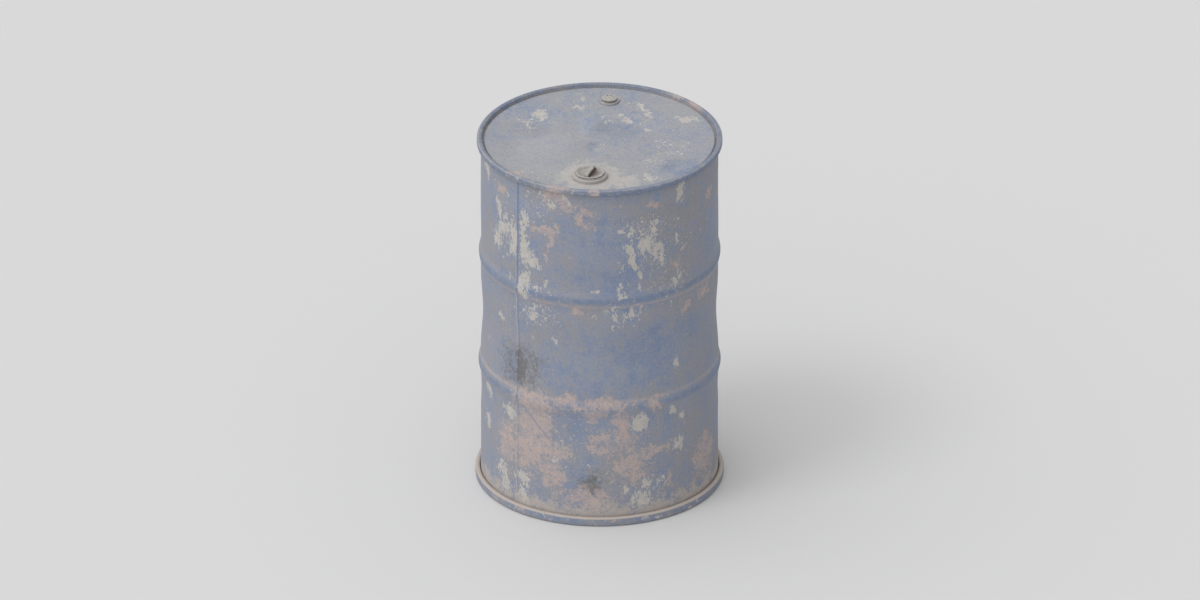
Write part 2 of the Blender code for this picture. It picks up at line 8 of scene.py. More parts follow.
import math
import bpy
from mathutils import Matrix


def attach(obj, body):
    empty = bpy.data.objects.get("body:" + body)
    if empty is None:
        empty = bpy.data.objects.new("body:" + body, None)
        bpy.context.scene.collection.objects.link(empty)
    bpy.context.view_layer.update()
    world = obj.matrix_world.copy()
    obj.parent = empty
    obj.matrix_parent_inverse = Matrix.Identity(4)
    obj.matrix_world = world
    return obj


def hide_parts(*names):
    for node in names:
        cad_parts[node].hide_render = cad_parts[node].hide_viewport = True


bl_info = {
    "name": "Rusty Oil Barrel",
    "version": (1, 0, 0),
    "blender": (4, 5, 0),
    "location": "3D View > Sidebar > Oil Barrel",
    "description": "Builds the visible shell, heads and bungs of a worn 200-litre steel drum",
    "category": "Object",
}

from collections import namedtuple

import bmesh
import bpy
import numpy as np
from bpy.props import FloatProperty, FloatVectorProperty, PointerProperty
from bpy.types import Operator, Panel, PropertyGroup
from mathutils import Matrix, Vector

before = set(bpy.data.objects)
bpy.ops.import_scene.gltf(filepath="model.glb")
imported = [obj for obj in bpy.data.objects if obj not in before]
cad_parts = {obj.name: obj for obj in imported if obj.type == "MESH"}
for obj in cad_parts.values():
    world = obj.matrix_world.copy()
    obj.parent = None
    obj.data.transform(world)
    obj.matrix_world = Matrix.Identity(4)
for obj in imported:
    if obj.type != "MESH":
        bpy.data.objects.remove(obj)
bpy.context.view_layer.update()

# The photograph, 1200 x 600 pixels, seen without perspective from the front and above
PHOTO_AXIS = 599.6
PHOTO_GROUND = 471.4
PIXEL = 0.002377
CAMERA_ELEVATION = math.radians(26.565)
CAMERA_SCALE = 2.852
CAMERA_TARGET = Vector((0.001, 0.0, 0.4555))
CAMERA_DISTANCE = 6.0
CAMERA_REACH = 60.0

# Sheet metal, as in the CAD model
SHEET = 0.0012
CHUCK_CLEARANCE = 0.0003
HOOK_CLEARANCE = 0.0006
COMPOUND_THICKNESS = 0.0010
CLEARANCE = 0.0003
MERGE = 0.000004
LEAST_STEP = 0.00003
SMOOTH_ANGLE = math.radians(32)

# Longitudinal weld: a lap that rises slowly on its left and drops quickly on its right
WELD_AZIMUTH = -44.0
WELD_RISE = 0.0012
WELD_LEFT_WIDTH = 0.0055
WELD_RIGHT_WIDTH = 0.0014

Hoop = namedtuple("Hoop", "height half_width")
HOOPS = (Hoop(height=0.303, half_width=0.028), Hoop(height=0.591, half_width=0.028))
Waist = namedtuple("Waist", "height half_height depth")
WAISTS = (
    Waist(height=0.438, half_height=0.105, depth=0.0050),
    Waist(height=0.235, half_height=0.055, depth=0.0018),
)

# A rolled chime, with depths measured from that end of the barrel
Chime = namedtuple("Chime", "overhang depth crown_bend heel_bend")
TOP_CHIME = Chime(overhang=0.0100, depth=0.0140, crown_bend=0.0040, heel_bend=0.0022)
BOTTOM_CHIME = Chime(overhang=0.0130, depth=0.0225, crown_bend=0.0050, heel_bend=0.0040)
TOP_PANEL_DEPTH = 0.0070
COUNTERSINK_DEPTH = 0.0150
COUNTERSINK_WIDTH = 0.0060
BOTTOM_PANEL_DEPTH = 0.0220
PANEL_BEND = 0.0025
PANEL_RIM_BAND = 0.030

Dent = namedtuple("Dent", "azimuth height half_angle half_height depth")
BODY_DENTS = (
    Dent(azimuth=64.0, height=0.672, half_angle=24.0, half_height=0.052, depth=0.0036),
    Dent(azimuth=22.0, height=0.452, half_angle=26.0, half_height=0.090, depth=0.0030),
    Dent(azimuth=-14.0, height=0.190, half_angle=22.0, half_height=0.085, depth=0.0026),
    Dent(azimuth=158.0, height=0.450, half_angle=30.0, half_height=0.100, depth=0.0085),
    Dent(azimuth=-118.0, height=0.735, half_angle=26.0, half_height=0.090, depth=0.0060),
    Dent(azimuth=112.0, height=0.150, half_angle=24.0, half_height=0.080, depth=0.0048),
)

Buckle = namedtuple("Buckle", "x y half_length half_width turn rise")
TOP_BUCKLES = (
    Buckle(x=-0.115, y=-0.030, half_length=0.135, half_width=0.060, turn=27.0, rise=0.0044),
    Buckle(x=-0.022, y=0.052, half_length=0.062, half_width=0.040, turn=70.0, rise=0.0046),
    Buckle(x=0.072, y=0.066, half_length=0.105, half_width=0.062, turn=-8.0, rise=-0.0075),
    Buckle(x=-0.028, y=-0.062, half_length=0.060, half_width=0.050, turn=20.0, rise=-0.0042),
    Buckle(x=-0.150, y=0.070, half_length=0.075, half_width=0.055, turn=35.0, rise=-0.0045),
    Buckle(x=0.178, y=-0.142, half_length=0.062, half_width=0.034, turn=52.0, rise=-0.0050),
    Buckle(x=0.095, y=-0.045, half_length=0.085, half_width=0.050, turn=12.0, rise=0.0026),
)
BOTTOM_BUCKLES = (Buckle(x=0.040, y=-0.030, half_length=0.180, half_width=0.150, turn=30.0, rise=0.0035),)
BOSS_FLAT_BAND = 0.006
BOSS_BLEND_BAND = 0.045

# How finely the pieces are made
BODY_COLUMNS = 300
HEAD_COLUMNS = 300
FOOT_COLUMNS = 240
WALL_ROW = 0.0070
HOOP_ROWS = 13
PANEL_ROW = 0.0034
FOOT_PANEL_ROW = 0.011
BEND_STEPS = 5

# How the body's columns crowd towards the front and, much more, towards the weld
COLUMN_SAMPLES = 7201
FRONT_CROWDING = 0.75
WELD_CROWDING = 5.5
WELD_CROWDING_REACH = 0.0065

# Slow unevenness of the beaten sheet
RIPPLE_WAVES = 16
RIPPLE_SEED = 11
RIPPLE_HEIGHT = 0.00035

# A bung with its screwed insert; heights are over the top panel
Closure = namedtuple(
    "Closure",
    "name azimuth from_wall columns thread_radius thread_depth pitch boss_radius boss_height hole_radius "
    "lip_radius lip_thickness seal_thickness plate_thickness sleeve_length gasket_thickness gasket_inset "
    "rim_radius rim_thickness skirt_length skirt_wall floor_thickness",
)
LARGE = Closure(
    name="large",
    azimuth=-6.6,
    from_wall=0.0786,
    columns=96,
    thread_radius=0.0298,
    thread_depth=0.0013,
    pitch=0.002309,
    boss_radius=0.0410,
    boss_height=0.0084,
    hole_radius=0.0349,
    lip_radius=0.0374,
    lip_thickness=0.0012,
    seal_thickness=0.0010,
    plate_thickness=0.0040,
    sleeve_length=0.0080,
    gasket_thickness=0.0010,
    gasket_inset=0.0016,
    rim_radius=0.0348,
    rim_thickness=0.0022,
    skirt_length=0.0195,
    skirt_wall=0.0034,
    floor_thickness=0.0024,
)
SMALL = Closure(
    name="small",
    azimuth=173.4,
    from_wall=0.0786,
    columns=72,
    thread_radius=0.0132,
    thread_depth=0.0010,
    pitch=0.001814,
    boss_radius=0.0235,
    boss_height=0.0043,
    hole_radius=0.0170,
    lip_radius=0.0196,
    lip_thickness=0.0010,
    seal_thickness=0.0008,
    plate_thickness=0.0030,
    sleeve_length=0.0060,
    gasket_thickness=0.0010,
    gasket_inset=0.0012,
    rim_radius=0.0184,
    rim_thickness=0.0032,
    skirt_length=0.0140,
    skirt_wall=0.0028,
    floor_thickness=0.0030,
)
THREAD_ROWS_PER_TURN = 8
ON_WALL = 0.00002
TOOTH_STEEPNESS = 1.35
TOOTH_ROOT = 0.12
DISH_DEPTH = 0.0030
DISH_RIM = 0.0032
DISH_FLOOR_RADIUS = 0.0268
BAR_LENGTH = 0.0500
BAR_WIDTH = 0.0125
BAR_HEIGHT = 0.0085
BAR_ROOT = 0.0010
BAR_BEVEL = 0.0014
BAR_TAPER = 0.80
BAR_TURN = -20.0
POCKET_REACH = 0.0125
POCKET_RADIUS = 0.0020
POCKET_DEPTH = 0.0014
POCKET_HALF_SPREAD = 18.0
POCKET_COLUMNS = 20

# How near a point of the large bung is to a face to count as on it, and how near to the bar
NEAR = 0.0004
BAR_MARGIN = 0.0003

# A mark on the barrel, as the box that it fills in the photograph
Mark = namedtuple("Mark", "left right top bottom strength turn", defaults=(1.0, 0.0))


def marks(*boxes):
    """Marks from their left, right, top and bottom, and where it matters their strength and their turn."""
    return tuple(Mark(*box) for box in boxes)


BODY_CHIPS = marks(
    (519, 529, 213, 227), (519, 526, 224, 236), (519, 530, 230, 268), (526, 536, 250, 268),
    (530, 541, 258, 268), (517, 529, 267, 289), (520, 526, 287, 294), (534, 541, 284, 292),
    (543, 550, 280, 290), (498, 510, 220, 236), (494, 502, 224, 246), (508, 517, 221, 256),
    (497, 501, 200, 219), (503, 507, 205, 220), (507, 511, 254, 262), (508, 511, 268, 278),
    (485, 489, 159, 176), (674, 686, 180, 199), (638, 653, 236, 254), (622, 635, 241, 257),
    (627, 638, 253, 271), (650, 665, 241, 255), (652, 666, 252, 266), (637, 641, 269, 279),
    (638, 641, 285, 293), (616, 625, 284, 292), (620, 628, 291, 297), (649, 656, 221, 238),
    (655, 662, 218, 224), (630, 636, 227, 236), (616, 625, 229, 234), (670, 676, 276, 286),
    (677, 682, 272, 283), (675, 681, 233, 239, 1.0, 30.0), (590, 596, 289, 294), (549, 557, 200, 208),
    (561, 567, 195, 204), (525, 531, 303, 312, 1.0, 50.0), (530, 538, 311, 319, 1.0, 50.0),
    (499, 504, 313, 321, 1.0, 40.0), (610, 618, 314, 322, 1.0, 45.0), (625, 634, 307, 318, 1.0, 50.0),
    (612, 617, 304, 311), (552, 560, 339, 345), (673, 681, 358, 367), (486, 491, 381, 396),
    (486, 491, 410, 430), (504, 516, 400, 418), (633, 646, 415, 431), (669, 677, 403, 415),
    (680, 686, 411, 421), (674, 684, 435, 452), (499, 504, 456, 474), (504, 508, 462, 478),
    (502, 511, 475, 489), (517, 528, 469, 485), (517, 529, 487, 503), (551, 557, 455, 462),
    (638, 651, 491, 508), (632, 637, 490, 506), (644, 650, 478, 490), (655, 663, 474, 484),
    (618, 626, 484, 494),
)
BODY_STAINS = marks(
    (496, 506, 183, 191), (545, 573, 186, 198), (548, 574, 194, 210), (574, 592, 208, 219),
    (580, 589, 218, 229), (534, 553, 228, 234), (545, 553, 233, 246), (525, 533, 232, 240, 0.8),
    (545, 549, 252, 261), (556, 560, 224, 232), (644, 662, 203, 207), (706, 712, 188, 198),
    (678, 684, 249, 255), (673, 681, 261, 267), (699, 709, 283, 294), (682, 690, 303, 313),
    (574, 584, 309, 316), (649, 659, 395, 408), (512, 558, 392, 412), (552, 580, 395, 406),
    (576, 624, 400, 412), (583, 600, 410, 421), (512, 550, 406, 436), (512, 538, 430, 468),
    (536, 556, 436, 458), (552, 572, 448, 462), (540, 562, 462, 488), (588, 594, 427, 434, 0.9),
    (595, 607, 434, 442), (613, 634, 414, 446), (586, 616, 443, 458, 0.75), (614, 646, 453, 481),
    (641, 672, 444, 454), (696, 712, 437, 471), (499, 514, 422, 458), (562, 618, 488, 508, 0.8),
    (664, 676, 470, 486, 0.7),
)
BODY_SOOT = marks(
    (497, 544, 343, 388, 0.72), (516, 523, 350, 380, 0.60), (572, 610, 468, 494, 0.50),
    (582, 598, 476, 490, 0.45),
)
BODY_FILM = marks(
    (568, 640, 225, 290, -0.55), (560, 690, 318, 398, -0.40), (572, 632, 410, 438, -0.90),
    (600, 700, 398, 412, -0.60, -8.0), (475, 515, 190, 350, 0.30), (640, 712, 190, 300, 0.20),
    (470, 560, 290, 345, 0.15),
)
BODY_TONE = marks(
    (575, 700, 214, 224, -0.20), (560, 640, 262, 284, -0.15), (480, 560, 196, 212, 0.30),
    (480, 520, 290, 345, 0.15),
)
BODY_FLAKES = marks(
    (490, 520, 192, 262, 0.70), (524, 556, 186, 222, 0.75), (612, 668, 214, 240, 0.80),
    (612, 668, 240, 290, 0.45), (515, 560, 276, 300, 0.60), (600, 650, 300, 328, 0.90),
    (655, 690, 262, 304, 0.70), (512, 560, 300, 326, 0.80), (640, 712, 215, 262, 0.40),
    (490, 530, 452, 496, 0.70), (628, 670, 470, 504, 0.85), (515, 650, 420, 480, 0.40),
    (515, 535, 370, 388, 0.80),
)

# Two scratches side by side, down the falling diagonal of their box
SCRATCH = Mark(521, 551, 408, 439)
SCRATCH_APART = 0.0017
SCRATCH_HALF_WIDTH = 0.0010

HEAD_CHIPS = marks(
    (533, 547, 107, 120), (525, 531, 119, 124, 1.0, -20.0), (529, 535, 123, 128, 1.0, -20.0),
    (580, 589, 96, 101), (573, 584, 103, 109), (636, 646, 103, 109), (640, 650, 106, 113),
    (645, 655, 110, 118), (602, 608, 115, 120, 1.0, -30.0), (606, 613, 119, 125, 1.0, -30.0),
    (617, 626, 114, 119), (621, 632, 117, 122), (622, 629, 111, 114, 1.0, -30.0), (671, 684, 115, 119),
    (680, 698, 117, 122), (598, 604, 144, 147, 0.7, -30.0), (668, 672, 143, 146), (680, 686, 151, 155),
    (645, 650, 127, 130), (642, 656, 174, 178), (647, 657, 177, 182), (538, 542, 157, 160),
)
HEAD_STAINS = marks(
    (505, 526, 168, 178, 0.6), (544, 572, 186, 192), (590, 597, 189, 196), (690, 704, 101, 111),
    (672, 690, 94, 101),
)
# Dust film on the top head, with painted light and shade of the buckles in it: lighter along their ridges,
# darker in their basins
HEAD_FILM_AND_SHADING = marks(
    (500, 590, 132, 160, 0.55, 20.0), (500, 570, 160, 178, 0.45, -18.0), (594, 644, 119, 138, -0.60, 4.0),
    (582, 594, 118, 140, -0.45), (524, 549, 120, 137, -0.55), (583, 596, 143, 151, -0.60),
    (662, 698, 160, 175, -0.70, -20.0), (600, 680, 138, 160, 0.30), (560, 632, 158, 188, 0.90),
    (630, 700, 176, 190, 0.40), (488, 524, 118, 150, -0.25),
)
# Painted light and shade of the top head's buckles: lighter along their ridges, darker in their basins and
# dents
HEAD_BUCKLE_SHADING = marks(
    (512, 580, 134, 158, 0.45, 18.0), (500, 560, 158, 172, 0.25, -18.0), (594, 644, 119, 137, -0.35, 4.0),
    (580, 594, 112, 140, 0.25), (522, 550, 122, 137, -0.40), (582, 598, 142, 151, -0.55),
    (662, 700, 158, 174, -0.45, -22.0), (486, 520, 120, 150, -0.20),
)
HEAD_DUST = marks((594, 620, 164, 182, 0.6), (604, 638, 174, 188, 0.8))
HEAD_FLAKES = marks(
    (512, 540, 112, 134, 0.95), (540, 580, 96, 112, 0.40), (600, 650, 96, 126, 0.60),
    (655, 700, 110, 136, 0.55), (650, 690, 138, 158, 0.90), (640, 668, 156, 168, 1.00),
    (600, 640, 150, 172, 0.50), (568, 594, 156, 170, 0.95), (640, 660, 172, 184, 1.10),
    (512, 560, 168, 184, 0.75),
)

# A patch on a surface, in metres along it and up it
Patch = namedtuple("Patch", "across up half_across half_up turn strength")
PATCH_POWER = 2.4
HIDDEN_SIDE_SEED = 29
HIDDEN_AZIMUTHS = (98.0, 262.0)
HIDDEN_SPREAD_ACROSS = 0.045
HIDDEN_SPREAD_UP = 0.040
FOOT_CHIPS = 26
WARP_SEED = 5
WARP_SIZES = ((0.060, 0.0055), (0.022, 0.0030), (0.010, 0.0014))
WARP_WAVES = 5
SOFT_WIDENING = 1.35
SOFT_EDGE = 0.55


def srgb(red, green, blue):
    """Linear colour from the 0 to 255 values that a picture shows."""
    shares = (red / 255, green / 255, blue / 255)
    return tuple(s / 12.92 if s <= 0.04045 else ((s + 0.055) / 1.055) ** 2.4 for s in shares)


def length_property(name, description, default, least):
    """A length that can be set in the sidebar."""
    return FloatProperty(name=name, description=description, default=default, min=least, unit="LENGTH")


def colour_property(name, description, red, green, blue):
    """A colour that can be set in the sidebar. Its default is given as a picture shows it."""
    return FloatVectorProperty(
        name=name,
        description=description,
        default=srgb(red, green, blue),
        subtype="COLOR",
        size=3,
    )


class BarrelSizes(PropertyGroup):
    """Sizes of the visible barrel."""

    height: length_property("Height", "From the floor to the top of the top chime", 0.890, least=0.5)
    radius: length_property("Body radius", "Outside radius of the wall between the hoops", 0.282, least=0.1)
    hoop_rise: length_property("Hoop rise", "How far a hoop stands out from the wall", 0.0054, least=0.0)
    battering: FloatProperty(
        name="Battering",
        description="How strongly the dents and buckles show",
        default=1.0,
        min=0.0,
        max=2.0,
        subtype="FACTOR",
    )


class BarrelWear(PropertyGroup):
    """Colours of the barrel and how much wear it shows."""

    paint_light: colour_property("Paint, light", "Faded blue paint", 147, 156, 176)
    paint_deep: colour_property("Paint, deep", "Blue paint where it kept its colour", 127, 142, 171)
    # Strong blue of paint that kept its colour; the same colour is the painted shadow beside the weld's lap
    kept_paint_and_shadow: colour_property(
        "Paint, sheltered", "Strong blue beside the weld, on the hoops and on the chimes", 112, 130, 160
    )
    film: colour_property("Dust film", "Warm grey dust ground into the paint", 151, 149, 151)
    head_film: colour_property(
        "Dust film on top", "Paler dust that settled on the top head", 161, 161, 163
    )
    bare: colour_property("Bare patches", "Chalky undercoat where the paint flaked off", 190, 186, 181)
    stain: colour_property("Rust wash", "Pinkish rust stain in the paint", 188, 171, 166)
    crust: colour_property("Rust crust", "Orange bits of rust in a stain", 203, 175, 163)
    soot: colour_property("Soot", "Sooty black-brown patches", 100, 98, 94)
    # One colour for dirt and for painted shade in grooves, corners, under rims and at the foot
    grime: colour_property("Grime", "Brown dirt in grooves and corners", 92, 78, 72)
    clay: colour_property("Foot dirt", "Pale dry dirt at the foot and on the bottom chime", 188, 177, 168)
    dust: colour_property("Loose dust", "Pale dust round the large bung", 184, 180, 176)
    zinc: colour_property("Bungs", "Dull dusty zinc of the bungs", 160, 157, 153)
    rubber: colour_property("Seals", "Aged rubber of the gaskets", 58, 55, 52)
    compound: colour_property("Seam compound", "Grey-brown sealing compound in the chimes", 78, 74, 68)
    chips: FloatProperty(
        name="Flaking", description="How far bare patches spread", default=0.0, min=-1.0, max=1.0
    )
    rust: FloatProperty(
        name="Rusting", description="How far rust stains spread", default=0.0, min=-1.0, max=1.0
    )


def sizes():
    """The sizes set in the sidebar."""
    return bpy.context.scene.barrel_sizes


def wear():
    """The colours and the wear set in the sidebar."""
    return bpy.context.scene.barrel_wear


# Sizes that follow from the ones above, in metres
def wall_radius():
    """The middle of the wall's sheet."""
    return sizes().radius - SHEET / 2


def chuck_radius():
    """The middle of a head's upright wall, inside the body."""
    return sizes().radius - SHEET - CHUCK_CLEARANCE - SHEET / 2


def panel_height():
    """The top panel's upper face."""
    return sizes().height - TOP_PANEL_DEPTH


def at_azimuth(azimuth, radius):
    """x, y of a point that far from the axis. Azimuths start at the front and grow towards +X."""
    angle = math.radians(azimuth)
    return radius * math.sin(angle), -radius * math.cos(angle)


def direction(degrees):
    """Cosine and sine of an angle."""
    return math.cos(math.radians(degrees)), math.sin(math.radians(degrees))


def closure_place(closure):
    """x, y of a bung's axis."""
    return at_azimuth(closure.azimuth, chuck_radius() - closure.from_wall)


# Numbers over whole arrays of points
def smooth(edge0, edge1, value):
    """0 at edge0, 1 at edge1, with a soft start and end."""
    share = np.clip((value - edge0) / (edge1 - edge0), 0.0, 1.0)
    return share * share * (3.0 - 2.0 * share)


def hump(distance):
    """1 in the middle, 0 from a distance of 1 outwards."""
    return np.where(np.abs(distance) < 1.0, 0.5 * (1.0 + np.cos(np.pi * np.clip(distance, -1.0, 1.0))), 0.0)


def turn_between(azimuth, other):
    """Degrees from one azimuth to another, between -180 and 180."""
    return (azimuth - other + 180.0) % 360.0 - 180.0


def from_weld(azimuth):
    """Metres along the wall from the weld to an azimuth, positive to its right."""
    return turn_between(azimuth, WELD_AZIMUTH) * math.radians(1.0) * sizes().radius


def points_of(mesh):
    """The mesh's points, one row each."""
    points = np.empty(len(mesh.vertices) * 3)
    mesh.vertices.foreach_get("co", points)
    return points.reshape(-1, 3)


def points_round(mesh, closure):
    """The mesh's points from a bung's axis and from the panel."""
    return points_of(mesh) - np.array([*closure_place(closure), panel_height()])


def radius_of(points):
    """Each point's distance from the axis."""
    return np.hypot(points[:, 0], points[:, 1])


def azimuth_of(points):
    """Each point's azimuth in degrees."""
    return np.degrees(np.arctan2(points[:, 0], -points[:, 1]))


def move_points(mesh, points):
    """Gives the mesh's points new places."""
    mesh.vertices.foreach_set("co", points.ravel())
    mesh.update()


def store(mesh, **fields):
    """Keeps one number per point under each name, for the materials."""
    for name, values in fields.items():
        attribute = mesh.attributes.new(name, "FLOAT", "POINT")
        attribute.data.foreach_set("value", np.full(len(mesh.vertices), values, np.float32))


# Meshes
def spaced(section):
    """The section without points that lie almost on the one before."""
    kept = section[:1]
    for point in section[1:]:
        if math.dist(point, kept[-1]) > LEAST_STEP:
            kept.append(point)
    return kept


def spun(section, columns, closed=False):
    """A bmesh turned from a half section, given as (radius, height) points."""
    shape = bmesh.new()
    chain = [shape.verts.new((radius, 0.0, height)) for radius, height in spaced(section)]
    edges = [shape.edges.new(pair) for pair in zip(chain, chain[1:])]
    if closed:
        edges.append(shape.edges.new((chain[-1], chain[0])))
    bmesh.ops.spin(
        shape,
        geom=chain + edges,
        cent=(0.0, 0.0, 0.0),
        axis=(0.0, 0.0, 1.0),
        angle=math.tau,
        steps=columns,
        use_merge=True,
    )
    bmesh.ops.remove_doubles(shape, verts=shape.verts, dist=MERGE)
    bmesh.ops.recalc_face_normals(shape, faces=shape.faces)
    return shape


def finished(shape, name):
    """The bmesh as a smooth shaded mesh."""
    mesh = bpy.data.meshes.new(name)
    shape.to_mesh(mesh)
    shape.free()
    mesh.shade_smooth()
    return mesh


def new_object(name, data):
    """An object for a mesh, a lamp or a camera, in the scene."""
    piece = bpy.data.objects.new(name, data)
    bpy.context.scene.collection.objects.link(piece)
    return piece


def apply_modifiers(piece):
    """Makes what the modifiers give the piece's own mesh."""
    bpy.context.view_layer.update()
    graph = bpy.context.evaluated_depsgraph_get()
    mesh = bpy.data.meshes.new_from_object(piece.evaluated_get(graph))
    before = piece.data
    piece.modifiers.clear()
    piece.data = mesh
    bpy.data.meshes.remove(before)
    mesh.name = piece.name
    mesh.set_sharp_from_angle(angle=SMOOTH_ANGLE)


def give_thickness(piece):
    """Turns the middle of the sheet into sheet metal."""
    wall = piece.modifiers.new("Sheet", "SOLIDIFY")
    wall.thickness = SHEET
    wall.offset = 0.0
    wall.use_even_offset = True
    apply_modifiers(piece)


def combine(piece, tools, operation):
    """Cuts the tools from the piece, or joins them to it, and removes them."""
    bucket = bpy.data.collections.new("tools")
    for tool in tools:
        bpy.context.scene.collection.objects.unlink(tool)
        bucket.objects.link(tool)
    boolean = piece.modifiers.new("Combine", "BOOLEAN")
    boolean.operation = operation
    boolean.solver = "MANIFOLD"
    boolean.operand_type = "COLLECTION"
    boolean.collection = bucket
    apply_modifiers(piece)
    for tool in tools:
        mesh = tool.data
        bpy.data.objects.remove(tool)
        bpy.data.meshes.remove(mesh)
    bpy.data.collections.remove(bucket)


def rounded(corners, steps=4):
    """A section with rounded corners, each (radius, height, bend), where bend is the round's reach."""
    count = len(corners)
    points = []
    for index, (radius, height, bend) in enumerate(corners):
        if not bend:
            points.append((radius, height))
            continue
        corner = Vector((radius, height))
        ends = []
        for other in (corners[index - 1], corners[(index + 1) % count]):
            towards = Vector(other[:2]) - corner
            room = towards.length * (0.49 if other[2] else 1.0)
            ends.append(corner + towards.normalized() * min(bend, room))
        start, end = ends
        for step in range(steps + 1):
            share = step / steps
            point = start.lerp(corner, share).lerp(corner.lerp(end, share), share)
            points.append((point.x, point.y))
    return points


# Sections of the chimes
def turn_back(start, end, depth, bend, steps, crown):
    """A U-turn of sheet from one radius to another, towards the barrel's end (a crown) or its middle."""
    side = 1.0 if crown else -1.0
    across = math.copysign(1.0, end - start)
    points = []
    for corner, centre in ((0, start + across * bend), (1, end - across * bend)):
        for step in range(steps + 1):
            angle = math.pi / 2 * step / steps
            turned = (math.cos(angle), math.sin(angle))
            out, along = turned if corner == 0 else turned[::-1]
            outwards = -across if corner == 0 else across
            points.append((centre + outwards * bend * out, depth + side * bend * (1.0 - along)))
    return points


def layer(number, chime):
    """The middle radius of a chime's layer, from 2, the body's wall, to 7, the outside."""
    outside = sizes().radius + chime.overhang - SHEET / 2
    return wall_radius() + (outside - wall_radius()) * (number - 2) / 5


def body_hook(chime):
    """The body's buried part of a chime, from its edge to the wall, as (radius, depth)."""
    crown = SHEET / 2 + SHEET + COMPOUND_THICKNESS + 2 * CLEARANCE
    heel = chime.depth - SHEET / 2 - SHEET - HOOK_CLEARANCE
    edge = crown + 2 * SHEET + 2 * HOOK_CLEARANCE + SHEET
    fourth, sixth = layer(4, chime), layer(6, chime)
    bend = (sixth - fourth) / 2 - MERGE
    return [
        (fourth, edge),
        *turn_back(fourth, sixth, heel, bend, 1, crown=False),
        *turn_back(sixth, wall_radius(), crown, bend, 2, crown=True),
    ]


def head_hook(chime):
    """The head's part of a chime, from its buried edge round the outside to the chuck wall."""
    inner_crown = SHEET / 2 + 2 * SHEET + COMPOUND_THICKNESS + 2 * CLEARANCE + HOOK_CLEARANCE
    heel = chime.depth - SHEET / 2
    third, fifth, seventh = (layer(number, chime) for number in (3, 5, 7))
    bend = (fifth - third) / 2 - MERGE
    straight = heel - chime.heel_bend - chime.crown_bend
    side = [(seventh, heel - chime.heel_bend - straight * part / 4) for part in (1, 2, 3)]
    return [
        (fifth, heel - 3 * SHEET),
        *turn_back(fifth, third, inner_crown, bend, 1, crown=True),
        *turn_back(third, seventh, heel, chime.heel_bend, BEND_STEPS, crown=False),
        *side,
        *turn_back(seventh, chuck_radius(), SHEET / 2, chime.crown_bend, BEND_STEPS, crown=True),
    ]


def panel_rings(radius, depth, step):
    """Rings of the flat panel, from its rim to the middle."""
    count = round(radius / step)
    return [(radius * (count - ring) / count, depth) for ring in range(1, count + 1)]


# Surfaces marked by where they show in the photograph
def wall_patch(mark):
    """A patch on the wall, from the box that it fills in the photograph."""
    radius = sizes().radius
    middle = (mark.left + mark.right) / 2 - PHOTO_AXIS
    azimuth = math.asin(max(-0.985, min(0.985, middle * PIXEL / radius)))
    above = PHOTO_GROUND - (mark.top + mark.bottom) / 2
    raised = above * PIXEL + radius * math.cos(azimuth) * math.sin(CAMERA_ELEVATION)
    return Patch(
        across=azimuth * radius,
        up=raised / math.cos(CAMERA_ELEVATION),
        half_across=(mark.right - mark.left) / 2 * PIXEL / math.cos(azimuth),
        half_up=(mark.bottom - mark.top) / 2 * PIXEL / math.cos(CAMERA_ELEVATION),
        turn=mark.turn,
        strength=mark.strength,
    )


def panel_patch(mark):
    """A patch on the top head, from the box that it fills in the photograph."""
    above = PHOTO_GROUND - (mark.top + mark.bottom) / 2
    behind = above * PIXEL - panel_height() * math.cos(CAMERA_ELEVATION)
    return Patch(
        across=((mark.left + mark.right) / 2 - PHOTO_AXIS) * PIXEL,
        up=behind / math.sin(CAMERA_ELEVATION),
        half_across=(mark.right - mark.left) / 2 * PIXEL,
        half_up=(mark.bottom - mark.top) / 2 * PIXEL / math.sin(CAMERA_ELEVATION),
        turn=mark.turn,
        strength=mark.strength,
    )


def wall_patches(boxes):
    """The patches of several marks on the wall."""
    return [wall_patch(mark) for mark in boxes]


def panel_patches(boxes):
    """The patches of several marks on the top head."""
    return [panel_patch(mark) for mark in boxes]


def hidden_patches(random, groups, each, sizes_between, heights, share=1.0):
    """Patches in loose groups on the side of the wall that the photograph doesn't show."""
    patches = []
    for _ in range(groups):
        middle = math.radians(random.uniform(*HIDDEN_AZIMUTHS)) * sizes().radius
        up = random.uniform(*heights)
        for _ in range(each):
            size = random.uniform(*sizes_between)
            across = middle + random.normal(0.0, HIDDEN_SPREAD_ACROSS)
            raised = up + random.normal(0.0, HIDDEN_SPREAD_UP)
            patches.append(
                Patch(
                    across=across,
                    up=min(max(raised, heights[0]), heights[1]),
                    half_across=size * random.uniform(0.6, 1.2),
                    half_up=size * random.uniform(0.8, 1.9),
                    turn=random.uniform(-35.0, 35.0),
                    strength=share * random.uniform(0.6, 1.0),
                )
            )
    return patches


def warped(across, up):
    """The two coordinates shifted by a slow unevenness, so that no patch has a plain outline."""
    random = np.random.default_rng(WARP_SEED)
    shifted_across, shifted_up = across.copy(), up.copy()
    for wavelength, reach in WARP_SIZES:
        for _ in range(WARP_WAVES):
            heading = random.uniform(0.0, math.tau)
            length = wavelength * random.uniform(0.7, 1.4)
            phase = (across * math.cos(heading) + up * math.sin(heading)) / length * math.tau
            shifted_across += reach * 0.5 * np.sin(phase + random.uniform(0.0, math.tau))
            shifted_up += reach * 0.5 * np.sin(phase * 1.13 + random.uniform(0.0, math.tau))
    return shifted_across, shifted_up


